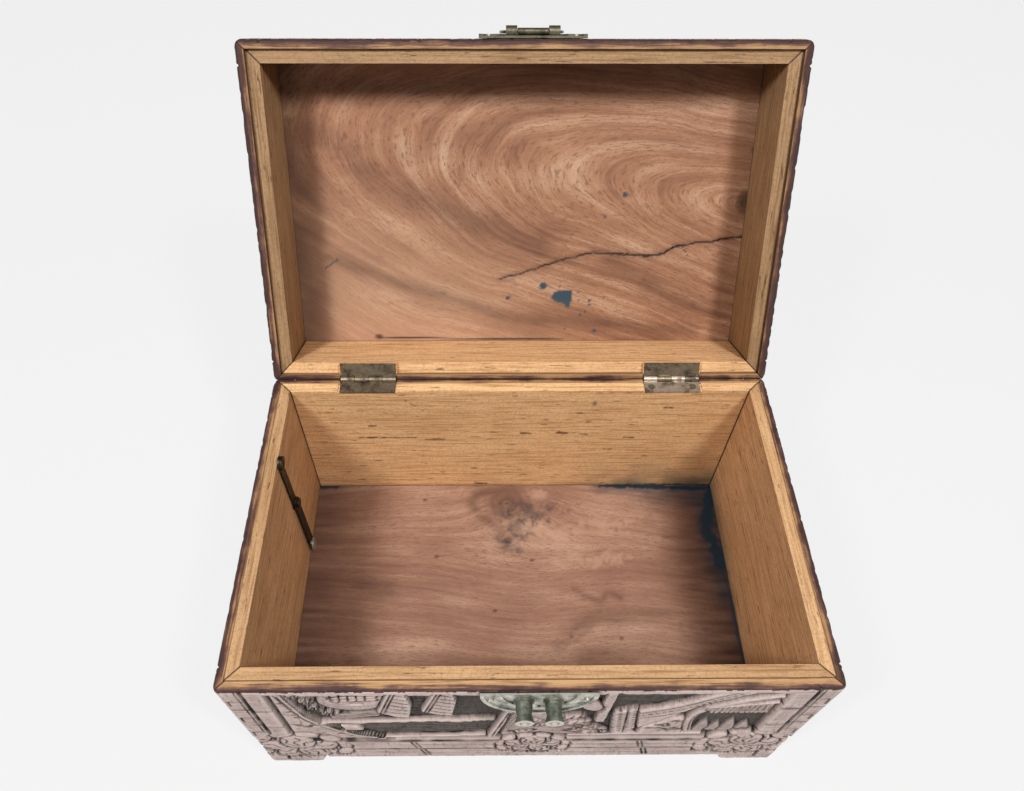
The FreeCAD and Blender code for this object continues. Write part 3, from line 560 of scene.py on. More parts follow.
def front_relief():
    """The harbour scene around the lock."""
    r = Relief(half_length, 0.0, base_height, (0.56, 0.74), 11)
    r.border()
    cliff = [(-126, 122), (-117, 122), (-114, 104), (-112, 84), (-99, 62), (-84, 50), (-72, 43), (-126, 43)]
    r.rocks(cliff, -1.2, 70)
    edge = [(-120, 120), (-117, 100), (-113, 82), (-104, 66), (-92, 52)]
    r.strand(curve(edge + [(-78, 45)]), 5.0, -0.5, 0.4)
    for shift in (-1.2, 1.0):
        r.groove(curve([(u + shift, v + shift) for u, v in edge + [(-80, 46)]]), 0.9, 0.7)
    for spot in ((-108, 109), (-106, 97), (-100, 88), (-112, 117)):
        r.flower(spot, 5.0, 0.4, -0.7)
    r.oval((-87, 107), (17.5, 14.5), 0.05, -1.2, 1.2)
    r.sink(curve([(-100, 111), (-88, 119), (-74, 118), (-76, 106), (-88, 103), (-100, 111)], 6), 3.0, 1.4)
    for n, level in ((0, 117), (1, 113), (2, 109)):
        r.strand([(-99 + 2 * n, level - 1), (-75, level + 1)], 2.0, -1.6, 0.6)
    for u in np.arange(-97, -76, 4.2):
        r.groove([(u, 108), (u + 0.8, 119)], 1.0, 0.8)
    quay = [(-102, 84), (-76, 91), (-75, 80), (-102, 74)]
    r.slab(quay, -2.2, 1.5)
    r.hatch(quay, 2.2, 0.15)
    for sail in (
        [(-68.5, 122), (-76.5, 92), (-68, 85), (-60, 83), (-57.8, 100), (-59.5, 122)],
        [(-46.5, 122), (-54.3, 93), (-45.5, 88), (-38, 86), (-35.3, 106), (-36.5, 122)],
    ):
        r.slab(sail, -0.6, 1.0, 0.8)
        (u0, v0), (u1, v1) = sail[0], sail[1]
        for gap in (2.2, 4.0):
            r.groove([(u0 + gap, v0), (u1 + gap, v1 - 1)], 0.9, 0.8)
        for n in range(6):
            share = (n + 0.5) / 6
            u, v = u0 + (u1 - u0) * share + 4.5, v0 + (v1 - v0) * share
            r.groove(curve([(u, v), (u + 7, v - 3.5), (u + 15, v - 5)], 5), 0.8, 0.7)
    r.strand(curve([(-106, 73), (-76, 74), (-50, 76), (-35, 75), (-18, 78)]), 4.0, -1.0, 0.3)
    r.groove(curve([(-104, 72.5), (-76, 73.5), (-50, 75.5), (-35, 74.5), (-18, 77.5)]), 0.9, 0.6)
    r.water([(-98, 69), (-30, 72), (-22, 47), (-80, 46)], 4.0)
    r.slab([(-99, 68), (-88, 66), (-86, 58), (-97, 59)], -1.2, 1.4)
    r.slab([(-11, 95), (-7, 92), (-16, 47), (-21, 47)], -0.5, 0.6, 0.4)
    r.groove([(-9.5, 91), (-18, 48)], 0.9, 0.7)
    bank = [(-8, 90), (14, 82), (24, 72), (40, 60), (52, 48), (-14, 46)]
    r.slab(bank, -1.9, 1.5)
    r.hatch([(-8, 90), (-1, 80), (-8, 52), (-14, 46)], 1.9, 1.2, 0.8)
    for start, end, width in (
        ((-2, 80), (10, 70), 6), ((6, 56), (-9, 52), 5), ((12, 78), (33, 82), 6), ((14, 68), (36, 73), 6),
        ((16, 60), (42, 60), 6), ((20, 54), (48, 52), 5), ((4, 62), (16, 74), 5), ((24, 66), (40, 54), 4),
    ):
        r.leaf(start, end, width, -0.7)
    r.slab([(37.0, 122), (43.0, 122), (41, 74), (35, 74)], -0.5, 1.0)
    r.hatch([(37.5, 120), (42, 120), (40.5, 76), (36, 76)], 2.4, 0.5)
    r.oval((32, 98), (5.5, 8.0), 0.4, -0.9, 1.2)
    steps = [(43, 89), (56, 95), (60, 53), (46, 52)]
    r.slab(steps, -0.9, 1.0)
    for u in (45.5, 49.0, 52.5, 56.0):
        r.dots([(u - 2.0, 90 + (u - 45) * 0.5), (u + 1.8, 54)], 3.4, 1.3, 1.0)
    r.groove([(50.7, 92), (53, 53)], 0.9, 0.8)
    deck = curve([(56, 92), (75, 103), (91, 118), (97, 122)], 8)
    under = curve([(112, 122), (97, 110), (86, 100), (76, 84), (60, 62), (60, 52)], 8)
    r.slab(deck + [np.array((118.0, 122.0))] + under, -0.7, 1.0)
    r.groove(curve([(57, 88), (75, 98), (91, 113), (100, 121)], 8), 0.9, 0.8)
    r.groove(curve([(59, 80), (76, 88), (88, 100), (104, 117)], 8), 0.9, 0.8)
    r.dots(curve([(58, 84), (76, 93), (90, 107), (103, 119)], 8), 3.6, 1.5, 1.1)
    r.rocks([(62, 62), (76, 80), (84, 78), (86, 50), (60, 50)], -0.9, 34)
    r.strand(curve([(87, 58), (85, 76), (88, 90), (102, 104), (122, 114)]), 5.0, -0.6, 0.3)
    r.groove(curve([(87.6, 58), (85.8, 76), (89, 89), (103, 103), (122, 113)]), 0.9, 0.7)
    hall = [(93, 84), (92, 92), (118, 101), (124, 100), (124, 84)]
    r.slab(hall, -1.8, 1.0)
    r.hatch(hall, 2.6, 1.45, 1.0)
    r.strand([(91, 94), (124, 103)], 2.4, -1.2, 0.7)
    for u, v in ((95, 74), (102, 70), (109, 75), (117, 71)):
        r.slab([(u - 5, 52), (u - 3, v - 8), (u, v), (u + 2, v - 6), (u + 6, 52)], -2.0, 1.5)
    r.strand(curve([(-80, 45), (-40, 47), (-22, 48)]), 2.4, -1.2, 0.7)
    r.strand(curve([(24, 47), (60, 49), (96, 49)]), 2.4, -1.2, 0.7)
    for u, v, radius in ((-126, 27, 29), (5, 30, 21), (124, 29, 27)):
        r.peony((u, v), radius)
    clear_pad(r, np.hypot(r.u - lock_x, r.v - base_height))
    r.finish(0.0, rim_round)
    return r


def harbour_relief(half, seed, pitch, order):
    """A scene for the other base boards: each motif in its order along the field."""
    r = Relief(half, 0.0, base_height, pitch, seed)
    r.border()
    inner = half - stile_width
    shore = [(-inner, 64), (-inner * 0.5, 70), (0, 66), (inner * 0.5, 71), (inner, 65)]
    r.water(rectangle(-inner, 43, inner, 66))
    r.strand(curve(shore), 4.0, -1.2, 0.9)
    slots = np.linspace(-inner, inner, 2 * len(order) + 1)[1::2]
    for u, motif in zip(slots, order):
        if motif == "junk":
            r.junk((u, 60), 21, -0.7)
        elif motif == "hall":
            r.rocks([(u - 26, 43), (u + 26, 43), (u + 22, 66), (u - 20, 68)], -1.0, 40)
            r.pavilion((u, 66), 27, 44, -0.6)
        elif motif == "bridge":
            for end in (-1, 1):
                pier = [(u + end * du, v) for du, v in ((32, 43), (18, 43), (16, 70), (30, 74))]
                r.rocks(pier, -1.0, 20)
            r.bridge((u - 30, 76), (u + 30, 76), 13, -0.7)
            r.cloud((u, 112), 6.5, -1.0)
        else:
            r.rocks([(u - 17, 43), (u + 15, 43), (u + 9, 62), (u - 8, 66)], -1.0, 30)
            r.pine((u - 3, 60), 52, 6, -0.8)
    for u, radius in ((-half + 24, 28), (0.0, 21), (half - 24, 28)):
        r.peony((u, 28), radius)
    r.finish(0.0, rim_round)
    return r


def rail_relief(half, seed, pitch, pad):
    """A prunus branch between bamboo canes, for the lid's rails. Heights are from the lid's rim."""
    r = Relief(half, lid_rim, lid_under, pitch, seed)
    inner = half - stile_width
    low, high = lid_rim + 6.0, lid_under - 5.5
    r.sink(rectangle(-inner, low, inner, high), field_depth)
    for side in (-1, 1):
        edge = side * (half - stile_groove)
        r.groove([(edge, lid_rim), (edge, lid_under)], 1.8, 1.3)
        for v in (lid_rim + 11, lid_rim + 30):
            r.groove([(side * half, v), (edge, v)], 1.2, 0.9)
        r.hook(side, lid_rim + 21, lid_rim + 15)
    middle = (low + high) / 2
    stations = np.linspace(-inner + 6, inner - 6, 12 if half > 100 else 6)
    sway = np.where(np.arange(len(stations)) % 2, 5.5, -5.5)
    r.strand(curve([(u, middle + w) for u, w in zip(stations, sway)], 10), 4.0, -1.0, 1.1)
    for n, (u, w) in enumerate(zip(stations, sway)):
        r.flower((u, middle - w * 0.5), 7.5, n * 0.7, -0.5)
        for step, lift in ((5.5, 9.5), (9.5, -8.5), (-7.0, 8.5)):
            root = (u + step * 0.5, middle + w * 0.3)
            r.leaf(root, (u + step + 4, middle + lift), 5.0, -0.8)
    if pad:
        clear_pad(r, np.hypot(r.u - lock_x, r.v - lid_rim))
    r.finish(2.0, 0.0)
    return r


def top_relief():
    """A broad harbour scene inside a bamboo frame, for the lid's top."""
    r = Relief(half_length, -half_depth, half_depth, (1.2, 1.15), 71)
    inner_u, inner_v = half_length - stile_width, half_depth - stile_width
    r.sink(rectangle(-inner_u, -inner_v, inner_u, inner_v), 3.2)
    for side in (-1, 1):
        for edge, width, depth in ((stile_groove, 1.8, 1.2), (strip_width - 4.0, 1.0, 0.7)):
            u, v = side * (half_length - edge), side * (half_depth - edge)
            r.groove([(u, -half_depth + edge), (u, half_depth - edge)], width, depth)
            r.groove([(-half_length + edge, v), (half_length - edge, v)], width, depth)
        cane = (stile_groove + stile_width) / 2
        for u in np.arange(-112, 113, 28.0):
            r.cane_joint(u, side * (half_depth - cane), False)
        for v in np.arange(-56, 57, 28.0):
            r.cane_joint(side * (half_length - cane), v, True)
    r.water(rectangle(-inner_u, -inner_v, inner_u, -20), 4.0)
    r.strand(curve([(-126, -18), (-70, -12), (-20, -20), (40, -14), (126, -20)]), 5.0, -1.0, 0.9)
    for u, v in ((-96, 62), (-58, 52), (10, 64), (62, 50), (104, 60)):
        r.rocks([(u - 30, -8), (u - 14, v - 26), (u, v), (u + 12, v - 24), (u + 28, -8)], -1.6, 44)
    r.rocks([(-126, -10), (-60, -6), (-48, -24), (-70, -40), (-126, -46)], -0.9, 70)
    r.pavilion((-92, -14), 36, 46, -0.4)
    r.pavilion((92, -16), 30, 40, -0.5)
    r.rocks([(60, -18), (126, -12), (126, -40), (84, -34)], -0.9, 50)
    r.bridge((-52, -16), (8, -16), 14, -0.5)
    r.junk((36, -46), 24, -0.4)
    r.junk((-26, -50), 21, -0.5)
    r.pine((-122, -20), 62, 4, -0.5)
    r.pine((120, -20), 58, -6, -0.5)
    for u, v in ((-40, 60), (36, 58), (88, 62)):
        r.cloud((u, v), 6.0, -0.8)
    for u in (-122, 122):
        r.peony((u, -70), 23)
        r.peony((u, 62), 23)
    r.finish(3.4, 3.4)
    return r


# Meshes

def relief_solid(side, relief, back, on_lid, inner=None):
    """A closed block whose front is the carved face. Its back is flat, with an inner grid if given."""
    front = np.arange(relief.h.size).reshape(relief.h.shape)
    if inner is None:
        ends_u, ends_v = np.meshgrid(relief.us[[0, -1]], relief.vs[[0, -1]])
    else:
        ends_u, ends_v = inner.u, inner.v
    rear = front.size + np.arange(ends_u.size).reshape(ends_u.shape)
    points = np.vstack([
        face_points(side, relief.u, relief.v, -relief.h), face_points(side, ends_u, ends_v, back)
    ])
    faces = []
    for index in (front, rear[:, ::-1]):
        quads = np.stack([index[:-1, :-1], index[:-1, 1:], index[1:, 1:], index[1:, :-1]], axis=-1)
        faces += quads.reshape(-1, 4).tolist()
    for near, far in (
        (front[0, ::-1], rear[0]),
        (front[::-1, -1], rear[:, -1]),
        (front[-1], rear[-1, ::-1]),
        (front[:, 0], rear[::-1, 0]),
    ):
        faces.append(near.tolist() + far.tolist())
    return mesh_object("cutter", placed(points, on_lid).tolist(), faces)


def block(side, u_span, v_span, depth_span, on_lid):
    """A plain block set in a face."""
    outline = rectangle(u_span[0], v_span[0], u_span[1], v_span[1])
    u, v, d = np.array([(u, v, d) for d in depth_span for u, v in outline], float).T
    points = placed(face_points(side, u, v, d), on_lid)
    faces = [[0, 1, 2, 3], [7, 6, 5, 4], [1, 0, 4, 5], [2, 1, 5, 6], [3, 2, 6, 7], [0, 3, 7, 4]]
    return mesh_object("plug", points.tolist(), faces)


def add_object(name, data):
    """A new object in the scene."""
    made = bpy.data.objects.new(name, data)
    bpy.context.scene.collection.objects.link(made)
    return made


def mesh_object(name, points, faces):
    """A new object with a mesh of its own."""
    mesh = bpy.data.meshes.new(name)
    mesh.from_pydata(points, [], faces)
    return add_object(name, mesh)


def copy_of(node, name):
    """A new object with a closed copy of a solid's mesh."""
    mesh = frame["nodes"][node].data.copy()
    edit = bmesh.new()
    edit.from_mesh(mesh)
    bmesh.ops.remove_doubles(edit, verts=edit.verts, dist=weld_distance)
    bmesh.ops.recalc_face_normals(edit, faces=edit.faces)
    edit.to_mesh(mesh)
    edit.free()
    for layer in list(mesh.attributes):
        if layer.name == "custom_normal":
            mesh.attributes.remove(layer)
    mesh.materials.clear()
    return add_object(name, mesh)


def carve(node, steps):
    """The node's solid after joining and cutting with blocks, as a new piece."""
    piece = copy_of(node, node + "_carved")
    for operation, tool in steps:
        change = piece.modifiers.new(operation, "BOOLEAN")
        change.operation = operation
        change.solver = "MANIFOLD"
        change.object = tool
    result = piece.evaluated_get(bpy.context.evaluated_depsgraph_get())
    mesh = bpy.data.meshes.new_from_object(result)
    piece.modifiers.clear()
    piece.data = mesh
    for operation, tool in steps:
        bpy.data.objects.remove(tool)
    mesh.shade_smooth()
    mesh.set_sharp_from_angle(angle=sharp_angle)
    return piece


def read_points(items, key, on_lid):
    """Places of vertices or faces on the shut box."""
    points = np.empty(len(items) * 3)
    items.foreach_get(key, points)
    return shut(points.reshape(-1, 3), on_lid)


def vertex_points(mesh, on_lid):
    """Places of a mesh's vertices on the shut box."""
    return read_points(mesh.vertices, "co", on_lid)


def face_middles(mesh, on_lid):
    """Places of a mesh's face middles on the shut box."""
    return read_points(mesh.polygons, "center", on_lid)


def add_values(mesh, name, values):
    """Gives each vertex a value that materials can read."""
    layer = mesh.attributes.new(name, "FLOAT", "POINT")
    layer.data.foreach_set("value", np.asarray(values, np.float32))


def relief_values(mesh, side, relief, on_lid):
    """Gives the carved vertices their shares of stain and painted shade, and of wear and painted highlight
    on ridges.
    """
    u, v, depth = face_coordinates(side, vertex_points(mesh, on_lid))
    cells = relief.nearest(u, v)
    near = np.abs(depth + relief.h[cells]) < carved_reach
    add_values(mesh, "stain_and_painted_shade", np.where(near, relief.stain_and_painted_shade[cells], plain_cavity))
    add_values(mesh, "ridge", np.where(near, relief.ridge[cells], 0.0))


def paint_faces(piece, materials, index):
    """Puts materials on faces by index."""
    piece.data.materials.clear()
    for material in materials:
        piece.data.materials.append(material)
    piece.data.polygons.foreach_set("material_index", np.asarray(index, np.int32))
    piece.data.update()


# Materials

def srgb(*values):
    """A colour written as it is seen, from 0 to 255."""
    shares = [value / 255 for value in values]
    return tuple(s / 12.92 if s < 0.04045 else ((s + 0.055) / 1.055) ** 2.4 for s in shares) + (1.0,)


def toned(tone, *values):
    """A colour made darker or lighter."""
    return tuple(min(1.0, tone * share) for share in srgb(*values))


class Shader:
    """One material and short names for its nodes."""

    def __init__(self, name, on_lid=False, **sockets):
        self.turn = open_angle if on_lid else 0.0
        self.material = bpy.data.materials.new(name)
        self.material.use_nodes = True
        self.tree = self.material.node_tree
        self.surface = self.tree.nodes["Principled BSDF"]
        for key, value in sockets.items():
            self.surface.inputs[key.replace("_", " ")].default_value = value

    def node(self, kind, inputs, **settings):
        made = self.tree.nodes.new("ShaderNode" + kind)
        for key, value in settings.items():
            setattr(made, key, value)
        for key, value in inputs.items():
            if isinstance(value, bpy.types.NodeSocket):
                self.tree.links.new(value, made.inputs[key])
            else:
                made.inputs[key].default_value = value
        return made

    def place(self, scale=1.0):
        """The shut box's millimetres, scaled evenly or by axis."""
        scales = (scale,) * 3 if isinstance(scale, float) else scale
        where = self.node("TexCoord", {}).outputs["Object"]
        shut_hinge = Vector((0.0, hinge_y, hinge_z)) * MM
        hinge = shut_hinge + Vector((0.0, frame_y, 0.0)) * MM
        shift = hinge - Matrix.Rotation(-self.turn, 3, "X") @ shut_hinge
        inputs = {"Vector": where, "Location": shift, "Rotation": (-self.turn, 0.0, 0.0)}
        inputs["Scale"] = tuple(MM / s for s in scales)
        return self.node("Mapping", inputs, vector_type="TEXTURE").outputs["Vector"]

    def axes(self):
        """The shut box's x, y and z."""
        return self.node("SeparateXYZ", {"Vector": self.place()}).outputs

    def noise(self, where, detail=4.0, rough=0.55, distortion=0.0):
        inputs = {"Vector": where, "Scale": 1.0, "Detail": detail, "Roughness": rough}
        inputs["Distortion"] = distortion
        return self.node("TexNoise", inputs).outputs["Fac"]

    def value(self, name):
        return self.node("Attribute", {}, attribute_name=name).outputs["Fac"]

    def math(self, operation, *terms):
        return self.node("Math", dict(enumerate(terms)), operation=operation).outputs[0]

    def ramp(self, share, stops):
        """Colours along a share; a stop's colour may be a grey value."""
        made = self.node("ValToRGB", {"Fac": share})
        ends = made.color_ramp.elements
        while len(ends) < len(stops):
            ends.new(0.5)
        for end, (place, colour) in zip(ends, stops):
            end.position = place
            end.color = colour if isinstance(colour, tuple) else (colour, colour, colour, 1.0)
        return made.outputs["Color"]

    def mix(self, share, first, second, blend="MIX"):
        made = self.node("Mix", {0: share, 6: first, 7: second}, data_type="RGBA", blend_type=blend)
        return made.outputs[2]

    def link(self, socket, value):
        self.tree.links.new(value, self.surface.inputs[socket])

    def bump(self, height, distance, strength=1.0):
        made = self.node("Bump", {"Height": height, "Distance": distance * MM, "Strength": strength})
        self.link("Normal", made.outputs["Normal"])


def by_axis(along, run, cross):
    """Noise scales for a grain that runs along one axis."""
    return [run if axis == along else cross for axis in "xyz"]


def carved_wood(name, on_lid, along):
    """Stained carving: recesses and cuts darkened by stain and painted shade, ridges paled by wear and a
    painted highlight, fine dark grain lines.
    """
    s = Shader(name, on_lid, Specular_IOR_Level=0.25)
    grain = s.noise(s.place(by_axis(along, 0.03, 1.0)), 6.0, 0.62)
    patch = s.noise(s.place((0.05, 0.06, 0.06)), 3.0)
    stops = [(0.32, srgb(104, 80, 74)), (0.43, srgb(190, 164, 156)), (0.64, srgb(220, 200, 192))]
    face = s.ramp(grain, stops)
    stain = s.ramp(patch, [(0.32, srgb(140, 108, 98)), (0.62, srgb(208, 184, 176))])
    colour = s.mix(0.35, face, stain)
    strokes = s.noise(s.place(by_axis(along, 0.6, 0.13)), 3.0, 0.62, 0.8)
    colour = s.mix(s.ramp(strokes, [(0.54, 0.0), (0.66, 0.65)]), colour, srgb(104, 80, 72))
    # Pale ridges: wear, and a painted highlight on raised parts.
    colour = s.mix(s.math("MULTIPLY", s.value("ridge"), 0.5), colour, srgb(226, 208, 200))
    # Stain and painted shade in recesses: a darker recess colour, near black in the deepest cuts.
    stain_and_painted_shade = s.value("stain_and_painted_shade")
    recess = s.mix(0.35, s.ramp(grain, [(0.35, srgb(44, 40, 37)), (0.68, srgb(106, 99, 92))]),
                   s.ramp(strokes, [(0.4, srgb(58, 50, 46)), (0.62, srgb(128, 116, 108))]))
    colour = s.mix(s.math("MINIMUM", s.math("MULTIPLY", stain_and_painted_shade, 1.12), 1.0), colour, recess)
    colour = s.mix(s.ramp(stain_and_painted_shade, [(0.8, 0.0), (0.98, 0.85)]), colour, srgb(32, 28, 26))
    past_rim = s.math("ABSOLUTE", s.math("SUBTRACT", edge_insets(s)[2], lid_rim if on_lid else base_height))
    ragged = s.math("ADD", s.math("MULTIPLY", past_rim, 0.3), s.math("MULTIPLY", grain, 0.5))
    colour = s.mix(s.ramp(ragged, [(0.5, 0.9), (0.78, 0.0)]), colour, srgb(84, 57, 52))
    s.link("Base Color", colour)
    s.link("Roughness", s.math("ADD", s.math("MULTIPLY", stain_and_painted_shade, 0.4), 0.5))
    s.bump(grain, 0.25, 0.5)
    return s.material


def edge_insets(s):
    """How far a point lies in from the box's sides and from its front and back, and its height."""
    axes = s.axes()
    from_side = s.math("SUBTRACT", half_length, s.math("ABSOLUTE", axes[0]))
    from_face = s.math("SUBTRACT", half_depth, s.math("ABSOLUTE", axes[1]))
    return from_side, from_face, axes[2]


def mitre_line(s, colour, from_side, from_face):
    """Darkens the open mitre at the corners."""
    apart = s.math("ABSOLUTE", s.math("SUBTRACT", from_side, from_face))
    return s.mix(s.ramp(apart, [(0.3, 0.9), (0.75, 0.0)]), colour, srgb(44, 28, 22))


def rim_wood(name, on_lid, along):
    """The rims' top: bare tan wood whose outer edge is stained dark in streaks along the grain."""
    s = Shader(name, on_lid, Roughness=0.6, Specular_IOR_Level=0.3)
    from_side, from_face = edge_insets(s)[:2]
    inset = s.math("MINIMUM", from_side, from_face)
    streak = s.noise(s.place(by_axis(along, 0.035, 0.8)), 6.0, 0.66)
    worn = s.noise(s.place(0.04), 4.0, 0.6)
    reach = 0.13 if along == "x" else 0.09
    share = s.math("ADD", s.math("MULTIPLY", inset, reach), s.math("MULTIPLY", streak, 1.1))
    share = s.math("SUBTRACT", s.math("ADD", share, worn), 1.04 if on_lid else 0.97)
    light, dull = (toned(rim_tones[on_lid], *seen) for seen in ((206, 162, 114), (178, 134, 92)))
    stops = [(0.26, srgb(66, 44, 44)), (0.42, srgb(112, 78, 64)), (0.56, dull), (0.8, light)]
    colour = s.ramp(share, stops)
    colour = s.mix(s.ramp(streak, [(0.36, 0.55), (0.5, 0.0)]), colour, srgb(100, 66, 44))
    colour = mitre_line(s, colour, from_side, from_face)
    s.link("Base Color", colour)
    s.bump(streak, 0.5, 0.6)
    return s.material


def plain_wood(name, on_lid, along, tone):
    """Planed wood with fine straight grain, short dark flecks, dirt in its corners and joints, and painted
    shade along the lip's step.
    """
    # tone scales the board's colours by its share of painted light and shade.
    light, dark, fleck = (toned(tone, *seen) for seen in wall_tones)
    s = Shader(name, on_lid, Specular_IOR_Level=0.3)
    fine = s.noise(s.place(by_axis(along, 0.03, 0.9)), 6.0, 0.68)
    band = s.noise(s.place(by_axis(along, 0.006, 0.07)), 3.0, 0.5, 0.4)
    spots = s.noise(s.place(by_axis(along, 0.09, 0.7)), 2.0, 0.5)
    soil = s.noise(s.place(0.025), 4.0, 0.6)
    colour = s.ramp(fine, [(0.38, dark), (0.5, light), (0.65, tuple(min(1.0, 1.2 * c) for c in light))])
    colour = s.mix(0.25, colour, s.ramp(band, [(0.3, dark), (0.65, light)]))
    colour = s.mix(s.ramp(soil, [(0.5, 0.0), (0.75, 0.3)]), colour, dark)
    speck = s.noise(s.place(0.8), 3.0, 0.6)
    colour = s.mix(s.ramp(speck, [(0.46, 0.0), (0.7, 0.55)]), colour, dark)
    colour = s.mix(s.ramp(spots, [(0.64, 0.0), (0.71, 0.7)]), colour, fleck)
    from_side, from_face, height = edge_insets(s)
    joint = s.math("ABSOLUTE", s.math("SUBTRACT", height, lid_under if on_lid else floor_level))
    colour = s.mix(s.ramp(s.math("MULTIPLY", joint, 0.2), [(0.08, 0.7), (0.4, 0.0)]), colour, fleck)
    # Painted shade: a dark line along the base's lip step and the lid's rebate step.
    inset = s.math("MINIMUM", from_side, from_face)
    step = s.math("SUBTRACT", inset, rebate_inset if on_lid else lip_inset)
    colour = s.mix(s.ramp(step, [(0.15, 0.75), (0.5, 0.0)]), colour, fleck)
    colour = mitre_line(s, colour, from_side, from_face)
    colour = s.mix(s.value("ink"), colour, srgb(44, 62, 60))
    colour = s.mix(s.value("shade"), colour, fleck)
    s.link("Base Color", colour)
    s.link("Roughness", s.ramp(fine, [(0.3, 0.66), (0.7, 0.5)]))
    s.bump(fine, 0.15, 0.4)
    return s.material


def figured_wood(name, on_lid, ring_share, dark, light, pale, ink):
    """A broad board whose growth figure, shades, cracks and ink come with its vertices."""
    s = Shader(name, on_lid, Specular_IOR_Level=0.3)
    axes = s.axes()
    figure = s.value("figure")

    def ringed(across, along):
        inputs = {"X": s.math("MULTIPLY", axes[0], along), "Y": s.math("MULTIPLY", axes[1], along)}
        inputs["Z"] = s.math("MULTIPLY", figure, across)
        return s.node("CombineXYZ", inputs).outputs[0]

    rings = s.noise(ringed(0.27, 0.009), 8.0, 0.68, 0.2)
    pores = s.noise(ringed(1.7, 0.2), 2.0, 0.5)
    cloud = s.noise(s.place((0.012, 0.03, 0.03)), 4.0, 0.55)
    speck = s.noise(s.place(0.9), 2.0)
    share = s.math("ADD", s.math("MULTIPLY", rings, ring_share), s.math("MULTIPLY", cloud, 1 - ring_share))
    colour = s.ramp(share, [(0.35, dark), (0.5, light), (0.65, pale)])
    colour = s.mix(s.ramp(pores, [(0.54, 0.0), (0.67, 0.65)]), colour, dark)
    colour = s.mix(s.ramp(speck, [(0.5, 0.0), (0.72, 0.35)]), colour, dark)
    colour = s.mix(s.value("pale"), colour, pale)
    colour = s.mix(s.value("shade"), colour, srgb(70, 44, 34))
    colour = s.mix(s.value("ink"), colour, ink)
    colour = s.mix(s.value("crack"), colour, srgb(28, 17, 15))
    s.link("Base Color", colour)
    s.link("Roughness", s.ramp(rings, [(0.3, 0.66), (0.7, 0.48)]))
    s.bump(pores, 0.1, 0.4)
    return s.material


def worn_and_lit_end(s, colour, bright):
    """Brightens the front end of a lock post, as wear and a painted highlight, and the lower side of the cup
    in it, as a painted highlight where light falls in.
    """
    from_face, height = edge_insets(s)[1:]
    short = s.math("ADD", from_face, post_reach)
    flat = s.ramp(short, [(0.15, 1.0), (0.3, 0.0)])
    low = s.ramp(s.math("SUBTRACT", post_height, height), [(0.4, 0.0), (0.9, 1.0)])
    deep = s.ramp(s.math("SUBTRACT", short, post_cup), [(0.1, 1.0), (0.2, 0.0)])
    share = s.math("MAXIMUM", flat, s.math("MULTIPLY", low, deep))
    return s.mix(share, colour, bright)


def old_brass(name, clean, dull, dark, scratch, end_wear_and_highlight=None, back_shade_depth=0.0):
    """Tarnished brass with dull patches, dark specks, fine scratches, an end paled by wear and a painted
    highlight, or painted shade on its back next to the wood.
    """
    s = Shader(name, Metallic=0.85, Roughness=0.45)
    patch = s.noise(s.place(0.16), 5.0, 0.6)
    speck = s.noise(s.place(0.8), 3.0)
    lines = s.noise(s.place((0.25, 2.2, 1.8)), 2.0, 0.5, 1.5)
    colour = s.ramp(patch, [(0.34, dark), (0.5, dull), (0.72, clean)])
    colour = s.mix(s.math("MULTIPLY", s.ramp(speck, [(0.58, 0.0), (0.72, 1.0)]), 0.6), colour, dark)
    scratched = s.math("MULTIPLY", s.ramp(lines, [(0.62, 0.0), (0.7, 1.0)]), scratch)
    colour = s.mix(scratched, colour, srgb(205, 200, 186))
    # Wear and a painted highlight on the post's end and in its cup.
    if end_wear_and_highlight is not None:
        colour = worn_and_lit_end(s, colour, end_wear_and_highlight)
    # Painted shade on the back of the plate, in the gap where it stands off the wood.
    if back_shade_depth:
        from_wood = s.math("MULTIPLY", edge_insets(s)[1], -1.0)
        colour = s.mix(s.ramp(from_wood, [(0.45 * back_shade_depth, 1.0), (back_shade_depth, 0.0)]), colour, srgb(30, 26, 20))
    s.link("Base Color", colour)
    s.link("Roughness", s.ramp(patch, [(0.35, 0.62), (0.7, 0.36)]))
    s.bump(speck, 0.06, 0.5)
    return s.material


def dark_metal(name, colour, worn, roughness):
    """Blackened metal, rubbed brighter in patches."""
    s = Shader(name, Metallic=0.8, Roughness=roughness)
    patch = s.noise(s.place(0.3), 5.0, 0.6)
    s.link("Base Color", s.ramp(patch, [(0.45, colour), (0.72, worn)]))
    s.bump(s.noise(s.place(1.2), 3.0), 0.05, 0.4)
    return s.material


def bamboo_wood():
    """End grain of a bamboo pin."""
    s = Shader("bamboo", Roughness=0.6)
    dots = s.noise(s.place(2.5), 2.0)
    s.link("Base Color", s.ramp(dots, [(0.4, srgb(150, 112, 74)), (0.6, srgb(92, 62, 44))]))
    return s.material


rim_tones = {False: 0.95, True: 0.8}
wall_tones = (206, 164, 120), (158, 116, 76), (70, 46, 30)
# Painted light and shade per board: paler where a board faces the lamps, darker on the lid's front and side
# rails, which lie in shade.
painted_light_shares = {
    "back_board": 1.65, "right_board": 1.2,
    "lid_front_rail": 0.68, "lid_back_rail": 1.58, "lid_left_rail": 0.66, "lid_right_rail": 0.66,
}
carved, rims = {}, {}
for part, on_lid in (("base", False), ("lid", True)):
    for along in "xy":
        carved[along, on_lid] = carved_wood(f"{part}_carved_wood_{along}", on_lid, along)
        rims[along, on_lid] = rim_wood(f"{part}_rim_wood_{along}", on_lid, along)
panel = figured_wood(
    "panel_wood", True, 0.62, srgb(126, 84, 62), srgb(170, 122, 92), srgb(204, 164, 134), srgb(60, 76, 86))
floor_wood = figured_wood(
    "floor_wood", False, 0.45, srgb(130, 92, 76), srgb(160, 121, 99), srgb(190, 154, 130), srgb(22, 42, 54))
bamboo = bamboo_wood()
